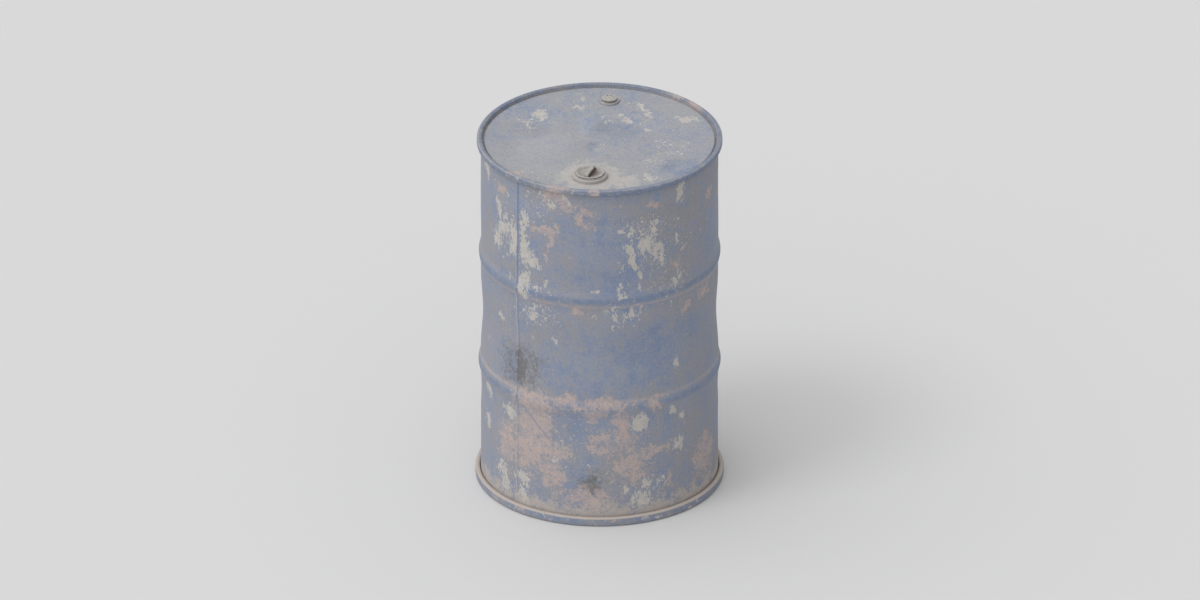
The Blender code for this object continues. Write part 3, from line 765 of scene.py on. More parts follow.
def nearness(patch, across, up, around):
    """1 in the middle of a patch, 0 at its edge, and less outside it."""
    sideways = across - patch.across
    if around:
        sideways = (sideways + around / 2) % around - around / 2
    upwards = up - patch.up
    cosine, sine = direction(patch.turn)
    along = np.abs(sideways * cosine + upwards * sine) / patch.half_across
    over = np.abs(upwards * cosine - sideways * sine) / patch.half_up
    return 1.0 - (along**PATCH_POWER + over**PATCH_POWER) ** (1.0 / PATCH_POWER)


def hard_field(patches, across, up, around=None):
    """How far inside the nearest patch each point is, from -1 to 1."""
    across, up = warped(across, up)
    best = np.full(len(across), -1.0)
    for patch in patches:
        best = np.maximum(best, nearness(patch, across, up, around) - (1.0 - patch.strength))
    return best


def soft_field(patches, across, up, around=None):
    """Broad patches with soft edges, added together."""
    total = np.zeros(len(across))
    across, up = warped(across, up)
    for patch in patches:
        wider = patch._replace(
            half_across=patch.half_across * SOFT_WIDENING,
            half_up=patch.half_up * SOFT_WIDENING,
        )
        total += patch.strength * smooth(0.0, SOFT_EDGE, nearness(wider, across, up, around))
    return total


def line_distance(patch, across, up):
    """Metres from the falling diagonal of a patch, and how far along it, from -1 to 1."""
    length = math.hypot(patch.half_across, patch.half_up)
    right, rise = patch.half_across / length, -patch.half_up / length
    sideways, upwards = across - patch.across, up - patch.up
    away = sideways * rise - upwards * right
    along = sideways * right + upwards * rise
    return away, along / length


# Node trees. The colour mix node has several sockets of the same name, so its colours go by number
MIX_FIRST = 6
MIX_SECOND = 7
MIX_RESULT = 2
FLAKE_SQUEEZE = 0.62
NODES_DOWN = 6
NODE_WIDTH = 220
NODE_HEIGHT = 190


class Graph:
    """Adds nodes to one tree. Each call gives back the output that the next one takes."""

    def __init__(self, tree):
        self.tree = tree
        self.placed = 0

    def add(self, kind, **settings):
        node = self.tree.nodes.new(kind)
        column, row = divmod(self.placed, NODES_DOWN)
        node.location = (NODE_WIDTH * column, -NODE_HEIGHT * row)
        self.placed += 1
        for name, value in settings.items():
            setattr(node, name, value)
        return node

    def put(self, socket, value):
        if isinstance(value, bpy.types.NodeSocket):
            self.tree.links.new(value, socket)
        elif socket.type == "RGBA":
            socket.default_value = (*value, 1.0)
        else:
            socket.default_value = value

    def maths(self, operation, *values):
        node = self.add("ShaderNodeMath", operation=operation)
        for socket, value in zip(node.inputs, values):
            self.put(socket, value)
        return node.outputs[0]

    def times(self, first, second):
        return self.maths("MULTIPLY", first, second)

    def plus(self, value, factor, start):
        """The start, and the value times a factor on top of it."""
        return self.maths("MULTIPLY_ADD", value, factor, start)

    def swing(self, noise, reach, middle):
        """The middle, raised and lowered by a noise that is 0.5 on average."""
        return self.plus(self.maths("SUBTRACT", noise, 0.5), reach, middle)

    def highest(self, *values):
        """The highest of two or more values."""
        best = values[0]
        for value in values[1:]:
            best = self.maths("MAXIMUM", best, value)
        return best

    def scaled(self, vector, factors):
        node = self.add("ShaderNodeVectorMath", operation="MULTIPLY")
        self.put(node.inputs[0], vector)
        self.put(node.inputs[1], factors)
        return node.outputs[0]

    def noise(self, vector, scale, detail=3.0, roughness=0.55, distortion=0.0):
        node = self.add("ShaderNodeTexNoise")
        given = (vector, scale, detail, roughness, distortion)
        for name, value in zip(("Vector", "Scale", "Detail", "Roughness", "Distortion"), given):
            self.put(node.inputs[name], value)
        return node.outputs["Fac"]

    def ramp(self, value, start, end, low=0.0, high=1.0):
        """low up to start, high from end, and a soft step between them."""
        node = self.add("ShaderNodeMapRange", interpolation_type="SMOOTHSTEP")
        given = (value, start, end, low, high)
        for name, number in zip(("Value", "From Min", "From Max", "To Min", "To Max"), given):
            self.put(node.inputs[name], number)
        return node.outputs["Result"]

    def mix(self, share, first, second):
        node = self.add("ShaderNodeMix", data_type="RGBA")
        self.put(node.inputs["Factor"], share)
        self.put(node.inputs[MIX_FIRST], first)
        self.put(node.inputs[MIX_SECOND], second)
        return node.outputs[MIX_RESULT]

    def shaded(self, colour, factor):
        """The colour made lighter or darker by a factor."""
        node = self.add("ShaderNodeVectorMath", operation="SCALE")
        self.put(node.inputs[0], colour)
        self.put(node.inputs["Scale"], factor)
        return node.outputs[0]

    def attribute(self, name):
        return self.add("ShaderNodeAttribute", attribute_name=name).outputs["Fac"]

    def height_of(self, vector):
        node = self.add("ShaderNodeSeparateXYZ")
        self.put(node.inputs[0], vector)
        return node.outputs["Z"]

    def group(self, tree, **values):
        node = self.add("ShaderNodeGroup")
        node.node_tree = tree
        for name, value in values.items():
            self.put(node.inputs[name.replace("_", " ").capitalize()], value)
        return node.outputs


def new_group(name, inputs, outputs):
    """A group's tree with its sockets, the outputs of its input node, and its output node."""
    tree = bpy.data.node_groups.new(name, "ShaderNodeTree")
    kinds = {"value": "NodeSocketFloat", "colour": "NodeSocketColor", "vector": "NodeSocketVector"}
    for socket, kind in inputs.items():
        tree.interface.new_socket(socket, in_out="INPUT", socket_type=kinds[kind])
    for socket, kind in outputs.items():
        tree.interface.new_socket(socket, in_out="OUTPUT", socket_type=kinds[kind])
    graph = Graph(tree)
    entry = graph.add("NodeGroupInput")
    leave = graph.add("NodeGroupOutput")
    return tree, graph, entry.outputs, leave.inputs


def shared(build):
    """The node group that a function builds. It is built once and has the function's name."""
    return bpy.data.node_groups.get(build.__name__) or build(build.__name__)


def mottled_paint(name):
    """Faded blue paint with dust ground into it: cloudy, streaked and finely speckled."""
    tree, graph, given, out = new_group(
        name,
        {"Place": "vector", "Light": "colour", "Deep": "colour", "Film": "colour", "Film amount": "value"},
        {"Colour": "colour", "Roughness": "value", "Height": "value"},
    )
    place = given["Place"]
    cloud = graph.noise(place, 8.0, 5.0, 0.60, 0.4)
    middle = graph.noise(place, 34.0, 6.0, 0.66, 0.3)
    fine = graph.noise(place, 170.0, 3.0, 0.64, 0.4)
    grain = graph.noise(place, 700.0, 2.0, 0.5)
    streak = graph.noise(graph.scaled(place, (60.0, 60.0, 5.0)), 1.0, 4.0, 0.6)

    depth = graph.ramp(graph.maths("ADD", cloud, graph.times(middle, 0.8)), 0.70, 1.10)
    paint = graph.mix(depth, given["Deep"], given["Light"])

    lifted = cloud
    for noise, reach in ((middle, 1.3), (fine, 1.3), (grain, 0.7), (streak, 0.3)):
        lifted = graph.swing(noise, reach, lifted)
    lifted = graph.plus(given["Film amount"], 0.30, lifted)
    filmed = graph.ramp(lifted, 0.22, 0.80, 0.10, 0.85)
    paint = graph.mix(filmed, paint, given["Film"])

    speck = graph.ramp(graph.noise(place, 330.0, 4.0, 0.7), 0.62, 0.70)
    tone = graph.swing(fine, 0.55, 1.0)
    tone = graph.swing(grain, 0.30, tone)
    tone = graph.plus(speck, -0.10, tone)
    tone = graph.swing(streak, 0.16, tone)
    paint = graph.shaded(paint, tone)

    graph.put(out["Colour"], paint)
    graph.put(out["Roughness"], graph.ramp(filmed, 0.0, 1.0, 0.50, 0.80))
    graph.put(out["Height"], graph.maths("ADD", fine, graph.times(middle, 0.6)))
    return tree


def flaked_patches(name):
    """Patches longer than wide with ragged crisp edges, small islands round them and a darker rim."""
    tree, graph, given, out = new_group(
        name,
        {"Place": "vector", "Field": "value", "Spread": "value", "Flakes": "value"},
        {"Mask": "value", "Rim": "value"},
    )
    long = graph.scaled(given["Place"], (1.0, 1.0, FLAKE_SQUEEZE))
    broad = graph.noise(long, 64.0, 3.0, 0.60, 0.6)
    ragged = graph.noise(long, 185.0, 2.0, 0.60, 0.9)
    edge = graph.maths("ADD", given["Field"], given["Spread"])
    edge = graph.swing(broad, 1.4, edge)
    edge = graph.swing(ragged, 2.5, edge)
    body = graph.ramp(edge, 0.12, 0.17)
    near = graph.highest(graph.times(graph.ramp(given["Field"], -1.0, 0.1), 0.30), given["Flakes"])
    flake = graph.noise(long, 108.0, 2.0, 0.60, 1.0)
    chip = graph.noise(long, 215.0, 1.5, 0.55, 0.6)
    flake = graph.ramp(graph.plus(near, 0.13, flake), 0.722, 0.738)
    chip = graph.ramp(graph.plus(near, 0.14, chip), 0.752, 0.772)
    mask = graph.highest(body, flake, chip)
    rim = graph.times(graph.ramp(edge, -0.40, -0.05), graph.maths("SUBTRACT", 1.0, mask))
    graph.put(out["Mask"], mask)
    graph.put(out["Rim"], rim)
    return tree


def rust_stain(name):
    """A pinkish wash with a dusty halo round it and crisp bits of rust in it."""
    tree, graph, given, out = new_group(
        name,
        {"Place": "vector", "Field": "value", "Spread": "value"},
        {"Halo": "value", "Wash": "value", "Crust": "value"},
    )
    place = given["Place"]
    broad = graph.noise(place, 36.0, 3.0, 0.64, 0.8)
    ragged = graph.noise(place, 125.0, 2.5, 0.66, 1.0)
    edge = graph.maths("ADD", given["Field"], given["Spread"])
    edge = graph.swing(broad, 2.6, edge)
    edge = graph.swing(ragged, 2.8, edge)
    bits = graph.noise(place, 165.0, 3.0, 0.66, 1.0)
    gaps = graph.ramp(graph.noise(place, 62.0, 4.0, 0.68, 1.4), 0.39, 0.43, 0.15, 1.0)
    thin = graph.ramp(graph.noise(place, 26.0, 4.0, 0.66, 1.6), 0.40, 0.54, 0.55, 1.0)
    wash = graph.times(graph.ramp(edge, -0.20, 0.15), graph.ramp(bits, 0.37, 0.42, 0.05, 1.0))
    wash = graph.times(graph.times(wash, gaps), thin)
    crust = graph.times(graph.ramp(edge, 0.00, 0.30), graph.ramp(bits, 0.54, 0.58))
    halo = graph.times(graph.ramp(edge, -1.10, -0.30), graph.ramp(bits, 0.34, 0.56, 0.35, 1.0))
    graph.put(out["Halo"], halo)
    graph.put(out["Wash"], wash)
    graph.put(out["Crust"], crust)
    return tree


def shader_of(made):
    """The material's own shader."""
    return made.node_tree.nodes["Principled BSDF"]


def new_material(name, specular):
    """A material with its graph, its shader and the place on the piece."""
    made = bpy.data.materials.new(name)
    made.use_nodes = True
    shader = shader_of(made)
    shader.inputs["Metallic"].default_value = 0.0
    shader.inputs["Specular IOR Level"].default_value = specular
    graph = Graph(made.node_tree)
    place = graph.add("ShaderNodeTexCoord").outputs["Object"]
    return made, graph, shader, place


def give_surface(graph, shader, colour, rough, height, strength, distance):
    """Ends a material with its colour and roughness, and with a normal that follows a height."""
    graph.put(shader.inputs["Base Color"], colour)
    graph.put(shader.inputs["Roughness"], rough)
    bump = graph.add("ShaderNodeBump")
    bump.inputs["Strength"].default_value = strength
    bump.inputs["Distance"].default_value = distance
    graph.put(bump.inputs["Height"], height)
    graph.put(shader.inputs["Normal"], bump.outputs["Normal"])


def painted(graph, place, film):
    """Paint, rust and flaked patches of the body and the heads: colour, roughness, height and bare mask."""
    look = wear()
    paint = graph.group(
        shared(mottled_paint),
        place=place,
        light=look.paint_light,
        deep=look.paint_deep,
        film=film,
        film_amount=graph.attribute("film"),
    )
    tone = graph.plus(graph.attribute("tone"), 0.20, 1.0)
    base = graph.shaded(paint["Colour"], tone)
    patchy = graph.ramp(graph.noise(place, 55.0, 5.0, 0.65), 0.36, 0.58, 0.35, 0.95)
    base = graph.mix(graph.times(graph.attribute("kept"), patchy), base, look.kept_paint_and_shadow)
    warm = graph.ramp(graph.noise(place, 75.0, 5.0, 0.65), 0.36, 0.58, 0.30, 0.85)
    base = graph.mix(graph.times(graph.attribute("line"), warm), base, look.stain)
    stain = graph.group(shared(rust_stain), place=place, field=graph.attribute("rust"), spread=look.rust)
    colour = graph.mix(graph.times(stain["Halo"], 0.50), base, film)
    colour = graph.mix(graph.times(stain["Wash"], 0.80), colour, look.stain)
    colour = graph.mix(graph.times(stain["Crust"], 0.54), colour, look.crust)
    flake = graph.group(
        shared(flaked_patches),
        place=place,
        field=graph.attribute("chip"),
        spread=look.chips,
        flakes=graph.attribute("flakes"),
    )
    colour = graph.mix(graph.times(flake["Rim"], 0.30), colour, look.paint_deep)
    bare_tone = graph.ramp(graph.noise(place, 90.0, 5.0, 0.6), 0.30, 0.70, 0.90, 1.06)
    bare = graph.shaded(look.bare, bare_tone)
    colour = graph.mix(flake["Mask"], colour, bare)
    rusty = graph.times(stain["Wash"], 0.82)
    chalky = graph.times(flake["Mask"], 0.86)
    rough = graph.highest(paint["Roughness"], rusty, chalky)
    height = graph.plus(flake["Mask"], -0.9, graph.times(paint["Height"], 0.35))
    height = graph.plus(stain["Crust"], 0.35, height)
    return colour, rough, height, flake["Mask"]


def body_material():
    """The wall's paint with its weld, its two scratches, soot and foot dirt."""
    look = wear()
    made, graph, shader, place = new_material("worn_body_paint", 0.35)
    colour, rough, height, bared = painted(graph, place, look.film)

    # The weld: a light line on the lap, partly worn paint and partly a painted highlight, and a painted
    # shadow of the lap's edge in strong blue to its right
    seam = graph.attribute("seam")
    worn = graph.times(graph.ramp(seam, -0.20, -0.03), graph.ramp(seam, 0.04, -0.01))
    colour = graph.mix(graph.times(worn, graph.attribute("rubbed")), colour, look.stain)
    shelter = graph.times(graph.ramp(seam, 0.00, 0.05), graph.ramp(seam, 0.26, 0.08))
    colour = graph.mix(graph.times(shelter, graph.attribute("sheltered")), colour, look.kept_paint_and_shadow)

    # Two scratches side by side
    scratch = graph.maths("ABSOLUTE", graph.attribute("scratch"))
    scratch = graph.maths("ABSOLUTE", graph.maths("SUBTRACT", scratch, SCRATCH_APART))
    scratch = graph.ramp(scratch, SCRATCH_HALF_WIDTH, SCRATCH_HALF_WIDTH / 3)
    scratch = graph.times(scratch, graph.attribute("scratched"))
    colour = graph.mix(graph.times(scratch, 0.95), colour, look.kept_paint_and_shadow)

    # Soot, and dirt at the foot that stays off the bare patches
    smut = graph.swing(graph.noise(place, 130.0, 4.0, 0.74), 3.2, graph.attribute("soot"))
    dark = graph.ramp(smut, 0.15, 1.35)
    colour = graph.mix(graph.times(dark, 0.72), colour, look.soot)
    low = graph.plus(graph.noise(place, 34.0, 7.0, 0.70), -0.150, graph.height_of(place))
    low = graph.swing(graph.noise(place, 150.0, 3.0, 0.65), -0.090, low)
    dirt = graph.ramp(low, -0.013, -0.046, 0.0, 0.84)
    dirt = graph.times(dirt, graph.plus(bared, -0.65, 1.0))
    dirt = graph.times(dirt, graph.ramp(graph.noise(place, 130.0, 4.0, 0.7, 0.8), 0.38, 0.50, 0.50, 1.0))
    colour = graph.mix(dirt, colour, look.clay)
    give_surface(graph, shader, colour, rough, height, strength=0.35, distance=0.0012)
    return made


def head_material():
    """The top head's paint with dust round the bungs, dirt and painted shade at the bosses' feet and in the
    countersink, painted shade under the chime, and a worn crest.
    """
    look = wear()
    made, graph, shader, place = new_material("dusty_head_paint", 0.35)
    colour, rough, height, _ = painted(graph, place, look.head_film)
    powder = graph.noise(place, 52.0, 5.0, 0.66, 0.8)
    dust = graph.swing(powder, 2.8, graph.attribute("dust"))
    colour = graph.mix(graph.ramp(dust, 0.15, 0.95, 0.0, 0.92), colour, look.dust)
    # Dirt and painted shade in one colour
    grime = graph.times(graph.attribute("grime"), graph.ramp(powder, 0.36, 0.60, 0.45, 1.0))
    colour = graph.mix(grime, colour, look.grime)
    worn = graph.ramp(graph.noise(place, 85.0, 5.0, 0.7), 0.44, 0.62)
    crest = graph.times(graph.attribute("crest"), worn)
    colour = graph.mix(graph.times(crest, 0.28), colour, look.stain)
    give_surface(graph, shader, colour, rough, height, strength=0.35, distance=0.0012)
    return made


def foot_material():
    """The bottom head's paint with pale dirt on the ledge of its chime and painted shade along the chime's
    bottom edge.
    """
    look = wear()
    made, graph, shader, place = new_material("rusty_foot_paint", 0.30)
    colour, rough, height, _ = painted(graph, place, look.film)
    patch = graph.noise(place, 60.0, 6.0, 0.7, 0.5)
    ledge = graph.swing(patch, 1.6, graph.attribute("ledge"))
    colour = graph.mix(graph.ramp(ledge, 0.25, 0.60, 0.0, 0.92), colour, look.clay)
    # Painted shade along the chime's bottom edge, by the floor
    grime = graph.times(graph.attribute("grime"), graph.ramp(patch, 0.35, 0.60, 0.5, 1.0))
    colour = graph.mix(grime, colour, look.grime)
    give_surface(graph, shader, colour, rough, height, strength=0.45, distance=0.0014)
    return made


def zinc_material():
    """Dull dusty zinc, darkened with painted shade in its corners, under its rims, in its pockets and
    beside the bar.
    """
    look = wear()
    made, graph, shader, place = new_material("dusty_zinc", 0.40)
    cloud = graph.noise(place, 120.0, 5.0, 0.62, 0.4)
    fine = graph.noise(place, 620.0, 3.0, 0.6)
    tone = graph.swing(cloud, 0.7, 1.0)
    tone = graph.swing(fine, 0.35, tone)
    colour = graph.shaded(look.zinc, tone)
    colour = graph.mix(graph.ramp(cloud, 0.42, 0.62, 0.15, 0.75), colour, look.dust)
    # Painted shade, where the marks of each piece put it
    grime = graph.swing(fine, 0.8, graph.attribute("grime"))
    colour = graph.mix(graph.ramp(grime, 0.15, 0.85), colour, look.grime)
    rough = graph.ramp(cloud, 0.35, 0.65, 0.45, 0.72)
    height = graph.maths("ADD", cloud, fine)
    give_surface(graph, shader, colour, rough, height, strength=0.35, distance=0.0006)
    return made


def rubber_material(name, rubber):
    """Old rubber or sealing compound, cloudy with dust."""
    made, graph, shader, place = new_material(name, 0.30)
    cloud = graph.noise(place, 160.0, 5.0, 0.6)
    colour = graph.shaded(rubber, graph.ramp(cloud, 0.3, 0.7, 0.75, 1.35))
    rough = graph.ramp(cloud, 0.3, 0.7, 0.65, 0.92)
    give_surface(graph, shader, colour, rough, cloud, strength=0.3, distance=0.0004)
    return made


# The body
def wall_heights():
    """Heights of the wall's rows, from the top down, closer together on the hoops."""
    top = sizes().height - TOP_CHIME.depth + 0.0015
    bottom = BOTTOM_CHIME.depth - 0.0015
    edges = [top]
    for hoop in reversed(HOOPS):
        edges += [hoop.height + hoop.half_width, hoop.height - hoop.half_width]
    edges.append(bottom)
    heights = [top]
    for index, (above, below) in enumerate(zip(edges, edges[1:])):
        rows = HOOP_ROWS if index % 2 else max(2, round((above - below) / WALL_ROW))
        heights += [above + (below - above) * row / rows for row in range(1, rows + 1)]
    return heights


def column_angles(count):
    """Azimuths of the body's columns in degrees: closer on the front, and much closer at the weld."""
    azimuth = np.linspace(-180.0, 180.0, COLUMN_SAMPLES)
    front = 1.0 + FRONT_CROWDING * smooth(125.0, 70.0, np.abs(azimuth))
    density = front + WELD_CROWDING * np.exp(-((from_weld(azimuth) / WELD_CROWDING_REACH) ** 2))
    share = np.concatenate([[0.0], np.cumsum((density[1:] + density[:-1]) / 2)])
    share /= share[-1]
    return np.interp(np.arange(count + 1) / count, share, azimuth)


def respace_columns(points, count):
    """Moves the evenly spun columns to their own azimuths. Radii and heights stay."""
    radius = radius_of(points)
    even = azimuth_of(points) + 180.0
    column = np.rint(even / 360.0 * count).astype(int) % count
    azimuth = np.radians(column_angles(count)[column])
    return np.column_stack([radius * np.sin(azimuth), -radius * np.cos(azimuth), points[:, 2]])


def ripple(azimuth, height):
    """Slow unevenness of the wall, the same at -180 and 180 degrees."""
    random = np.random.default_rng(RIPPLE_SEED)
    total = np.zeros(len(azimuth))
    for _ in range(RIPPLE_WAVES):
        around = random.integers(2, 13)
        upward = random.uniform(4.0, 34.0)
        phase = random.uniform(0.0, math.tau)
        total += np.sin(np.radians(azimuth) * around + height * upward + phase) / RIPPLE_WAVES**0.5
    return RIPPLE_HEIGHT * total


def weld_rise(away):
    """The lap's height at a distance along the wall from it, positive to its right."""
    left = smooth(-WELD_LEFT_WIDTH, -0.0004, away)
    right = smooth(WELD_RIGHT_WIDTH, 0.0, away)
    return WELD_RISE * np.where(away < 0.0, left, right)


def shape_wall(points):
    """Dents, unevenness and the weld, between the two chimes."""
    azimuth = azimuth_of(points)
    height = points[:, 2]
    top, bottom = sizes().height - TOP_CHIME.depth, BOTTOM_CHIME.depth
    wall = smooth(top + 0.001, top - 0.004, height) * smooth(bottom - 0.001, bottom + 0.004, height)
    calm = smooth(top, top - 0.05, height) * smooth(bottom, bottom + 0.05, height)
    move = np.zeros(len(points))
    for dent in BODY_DENTS:
        turn = turn_between(azimuth, dent.azimuth) / dent.half_angle
        rise = (height - dent.height) / dent.half_height
        move -= sizes().battering * dent.depth * hump(np.hypot(turn, rise))
    move += sizes().battering * calm * ripple(azimuth, height)
    move += wall * weld_rise(from_weld(azimuth))
    factor = 1.0 + move / radius_of(points)
    return np.column_stack([points[:, 0] * factor, points[:, 1] * factor, height])


def body_section():
    """The body from its buried edge in the top chime to the one in the bottom chime."""
    top = [(radius, sizes().height - depth) for radius, depth in body_hook(TOP_CHIME)]
    bottom = list(reversed(body_hook(BOTTOM_CHIME)))
    wall = []
    for height in wall_heights():
        radius = wall_radius()
        for hoop in HOOPS:
            radius += sizes().hoop_rise * float(hump((height - hoop.height) / hoop.half_width))
        for waist in WAISTS:
            radius -= waist.depth * float(hump((height - waist.height) / waist.half_height))
        wall.append((radius, height))
    return top + wall + bottom


def mark_body(mesh):
    """The fields that the body's material reads."""
    points = points_of(mesh)
    azimuth = azimuth_of(points)
    up = points[:, 2]
    on_wall = (np.radians(azimuth) * sizes().radius, up)
    around = math.tau * sizes().radius
    random = np.random.default_rng(HIDDEN_SIDE_SEED)
    anywhere = (0.05, sizes().height - 0.05)
    off_foot = (0.10, sizes().height - 0.05)
    chips = wall_patches(BODY_CHIPS) + hidden_patches(random, 15, 4, (0.006, 0.024), anywhere)
    stains = wall_patches(BODY_STAINS) + hidden_patches(random, 6, 3, (0.014, 0.040), anywhere)
    stains += hidden_patches(random, 5, 4, (0.025, 0.065), (0.05, 0.26))
    soot = wall_patches(BODY_SOOT) + hidden_patches(random, 1, 2, (0.030, 0.050), (0.12, 0.45), share=0.5)
    film = wall_patches(BODY_FILM) + hidden_patches(random, 5, 2, (0.050, 0.100), off_foot, share=-0.6)
    flakes = wall_patches(BODY_FLAKES) + hidden_patches(random, 6, 3, (0.030, 0.070), off_foot, share=0.6)
    away, along = line_distance(wall_patch(SCRATCH), *on_wall)

    # Strong blue on the hoops, and a worn line under each
    lower, upper = (up - hoop.height for hoop in HOOPS)
    kept = np.maximum(hump((upper - 0.002) / 0.014), 0.85 * hump((lower - 0.004) / 0.015))
    lower_line = (0.6 + 0.4 * smooth(-30.0, -50.0, azimuth)) * hump((lower - 0.021) / 0.006)
    line = np.maximum(0.75 * hump((upper + 0.014) / 0.006), lower_line)
    store(
        mesh,
        chip=hard_field(chips, *on_wall, around),
        rust=hard_field(stains, *on_wall, around),
        soot=soft_field(soot, *on_wall, around),
        film=soft_field(film, *on_wall, around),
        tone=soft_field(wall_patches(BODY_TONE), *on_wall, around),
        flakes=np.clip(soft_field(flakes, *on_wall, around), 0.0, 1.2),
        seam=np.clip(from_weld(azimuth) / 0.03, -1.0, 1.0),
        scratch=away,
        scratched=smooth(1.05, 0.85, np.abs(along)),
        kept=kept,
        line=line,
        # The weld's light line, partly worn paint and partly a painted highlight, is stronger below the
        # upper hoop; its painted shadow is stronger above each hoop
        rubbed=0.12 + 0.30 * smooth(0.02, -0.02, upper),
        sheltered=0.15 + 0.35 * smooth(-0.02, 0.02, lower) + 0.35 * smooth(-0.03, 0.03, upper),
    )


# The heads
def shape_panel(points, buckles, rim, bosses):
    """Raises and lowers the flat panel inside its rim by its buckles, and not round the bosses."""
    share = 1.0 - smooth(rim - PANEL_RIM_BAND, rim, radius_of(points))
    for closure in bosses:
        x, y = closure_place(closure)
        away = np.hypot(points[:, 0] - x, points[:, 1] - y)
        flat = closure.boss_radius + BOSS_FLAT_BAND
        share *= smooth(flat, flat + BOSS_BLEND_BAND, away)
    rise = np.zeros(len(points))
    for buckle in buckles:
        cosine, sine = direction(buckle.turn)
        away_x, away_y = points[:, 0] - buckle.x, points[:, 1] - buckle.y
        along = (away_x * cosine + away_y * sine) / buckle.half_length
        across = (away_y * cosine - away_x * sine) / buckle.half_width
        rise += buckle.rise * hump(np.hypot(along, across))
    raised = points.copy()
    raised[:, 2] += sizes().battering * share * rise
    return raised


def boss_ring(closure):
    """The raised boss: a foot that flows into the panel, a wall, and a rounded top with the hole in it."""
    top, outer = closure.boss_height, closure.boss_radius
    inner = outer - SHEET
    foot = 0.0022
    corners = [
        (closure.hole_radius, top, 0.0),
        (outer, top, 0.0016),
        (outer, 0.0, foot),
        (outer + foot, -0.0002, 0.0),
        (outer + foot, -0.0010, 0.0),
        (inner, -0.0010, 0.0),
        (inner, top - SHEET, 0.0006),
        (closure.hole_radius, top - SHEET, 0.0),
    ]
    return turned_piece(closure.name + "_boss", rounded(corners), closure)


def turned_piece(name, section, closure, closed=True):
    """A piece turned round a bung's axis, at its place on the top head."""
    mesh = finished(spun(section, closure.columns, closed=closed), name)
    move_to_closure(mesh, closure)
    return new_object(name, mesh)


def move_to_closure(mesh, closure):
    """Moves a mesh from the barrel's foot to a bung's axis, on the panel."""
    mesh.transform(Matrix.Translation((*closure_place(closure), panel_height())))


def pressed_head(name, section, columns, buckles, rim, bosses):
    """A head turned from its section, with its panel buckled."""
    mesh = finished(spun(section, columns), name)
    move_points(mesh, shape_panel(points_of(mesh), buckles, rim, bosses))
    head = new_object(name, mesh)
    give_thickness(head)
    return head


def make_top_head():
    """The top head with its countersink, its buckled panel and the two raised bosses with their holes."""
    panel = TOP_PANEL_DEPTH + SHEET / 2
    inner = chuck_radius() - COUNTERSINK_WIDTH
    rim = chuck_radius() - PANEL_BEND - COUNTERSINK_WIDTH
    groove_bend = COUNTERSINK_WIDTH / 2 - MERGE
    section = head_hook(TOP_CHIME)
    section += turn_back(chuck_radius(), inner, COUNTERSINK_DEPTH, groove_bend, BEND_STEPS, crown=False)
    section += rounded(
        [(inner, panel + PANEL_BEND, 0.0), (inner, panel, PANEL_BEND), (rim - PANEL_BEND, panel, 0.0)]
    )
    section += panel_rings(rim - PANEL_BEND, panel, PANEL_ROW)
    section = [(radius, sizes().height - depth) for radius, depth in section]
    closures = (LARGE, SMALL)
    head = pressed_head("top_head_looks", section, HEAD_COLUMNS, TOP_BUCKLES, rim, closures)
    cutters = []
    for closure in closures:
        hole = closure.boss_radius - SHEET / 2
        deep = closure.boss_height
        plug = [(0.0, deep), (hole, deep), (hole, -deep), (0.0, -deep)]
        cutters.append(turned_piece("cutter", plug, closure, closed=False))
    combine(head, cutters, "DIFFERENCE")
    combine(head, [boss_ring(closure) for closure in closures], "UNION")
    return head


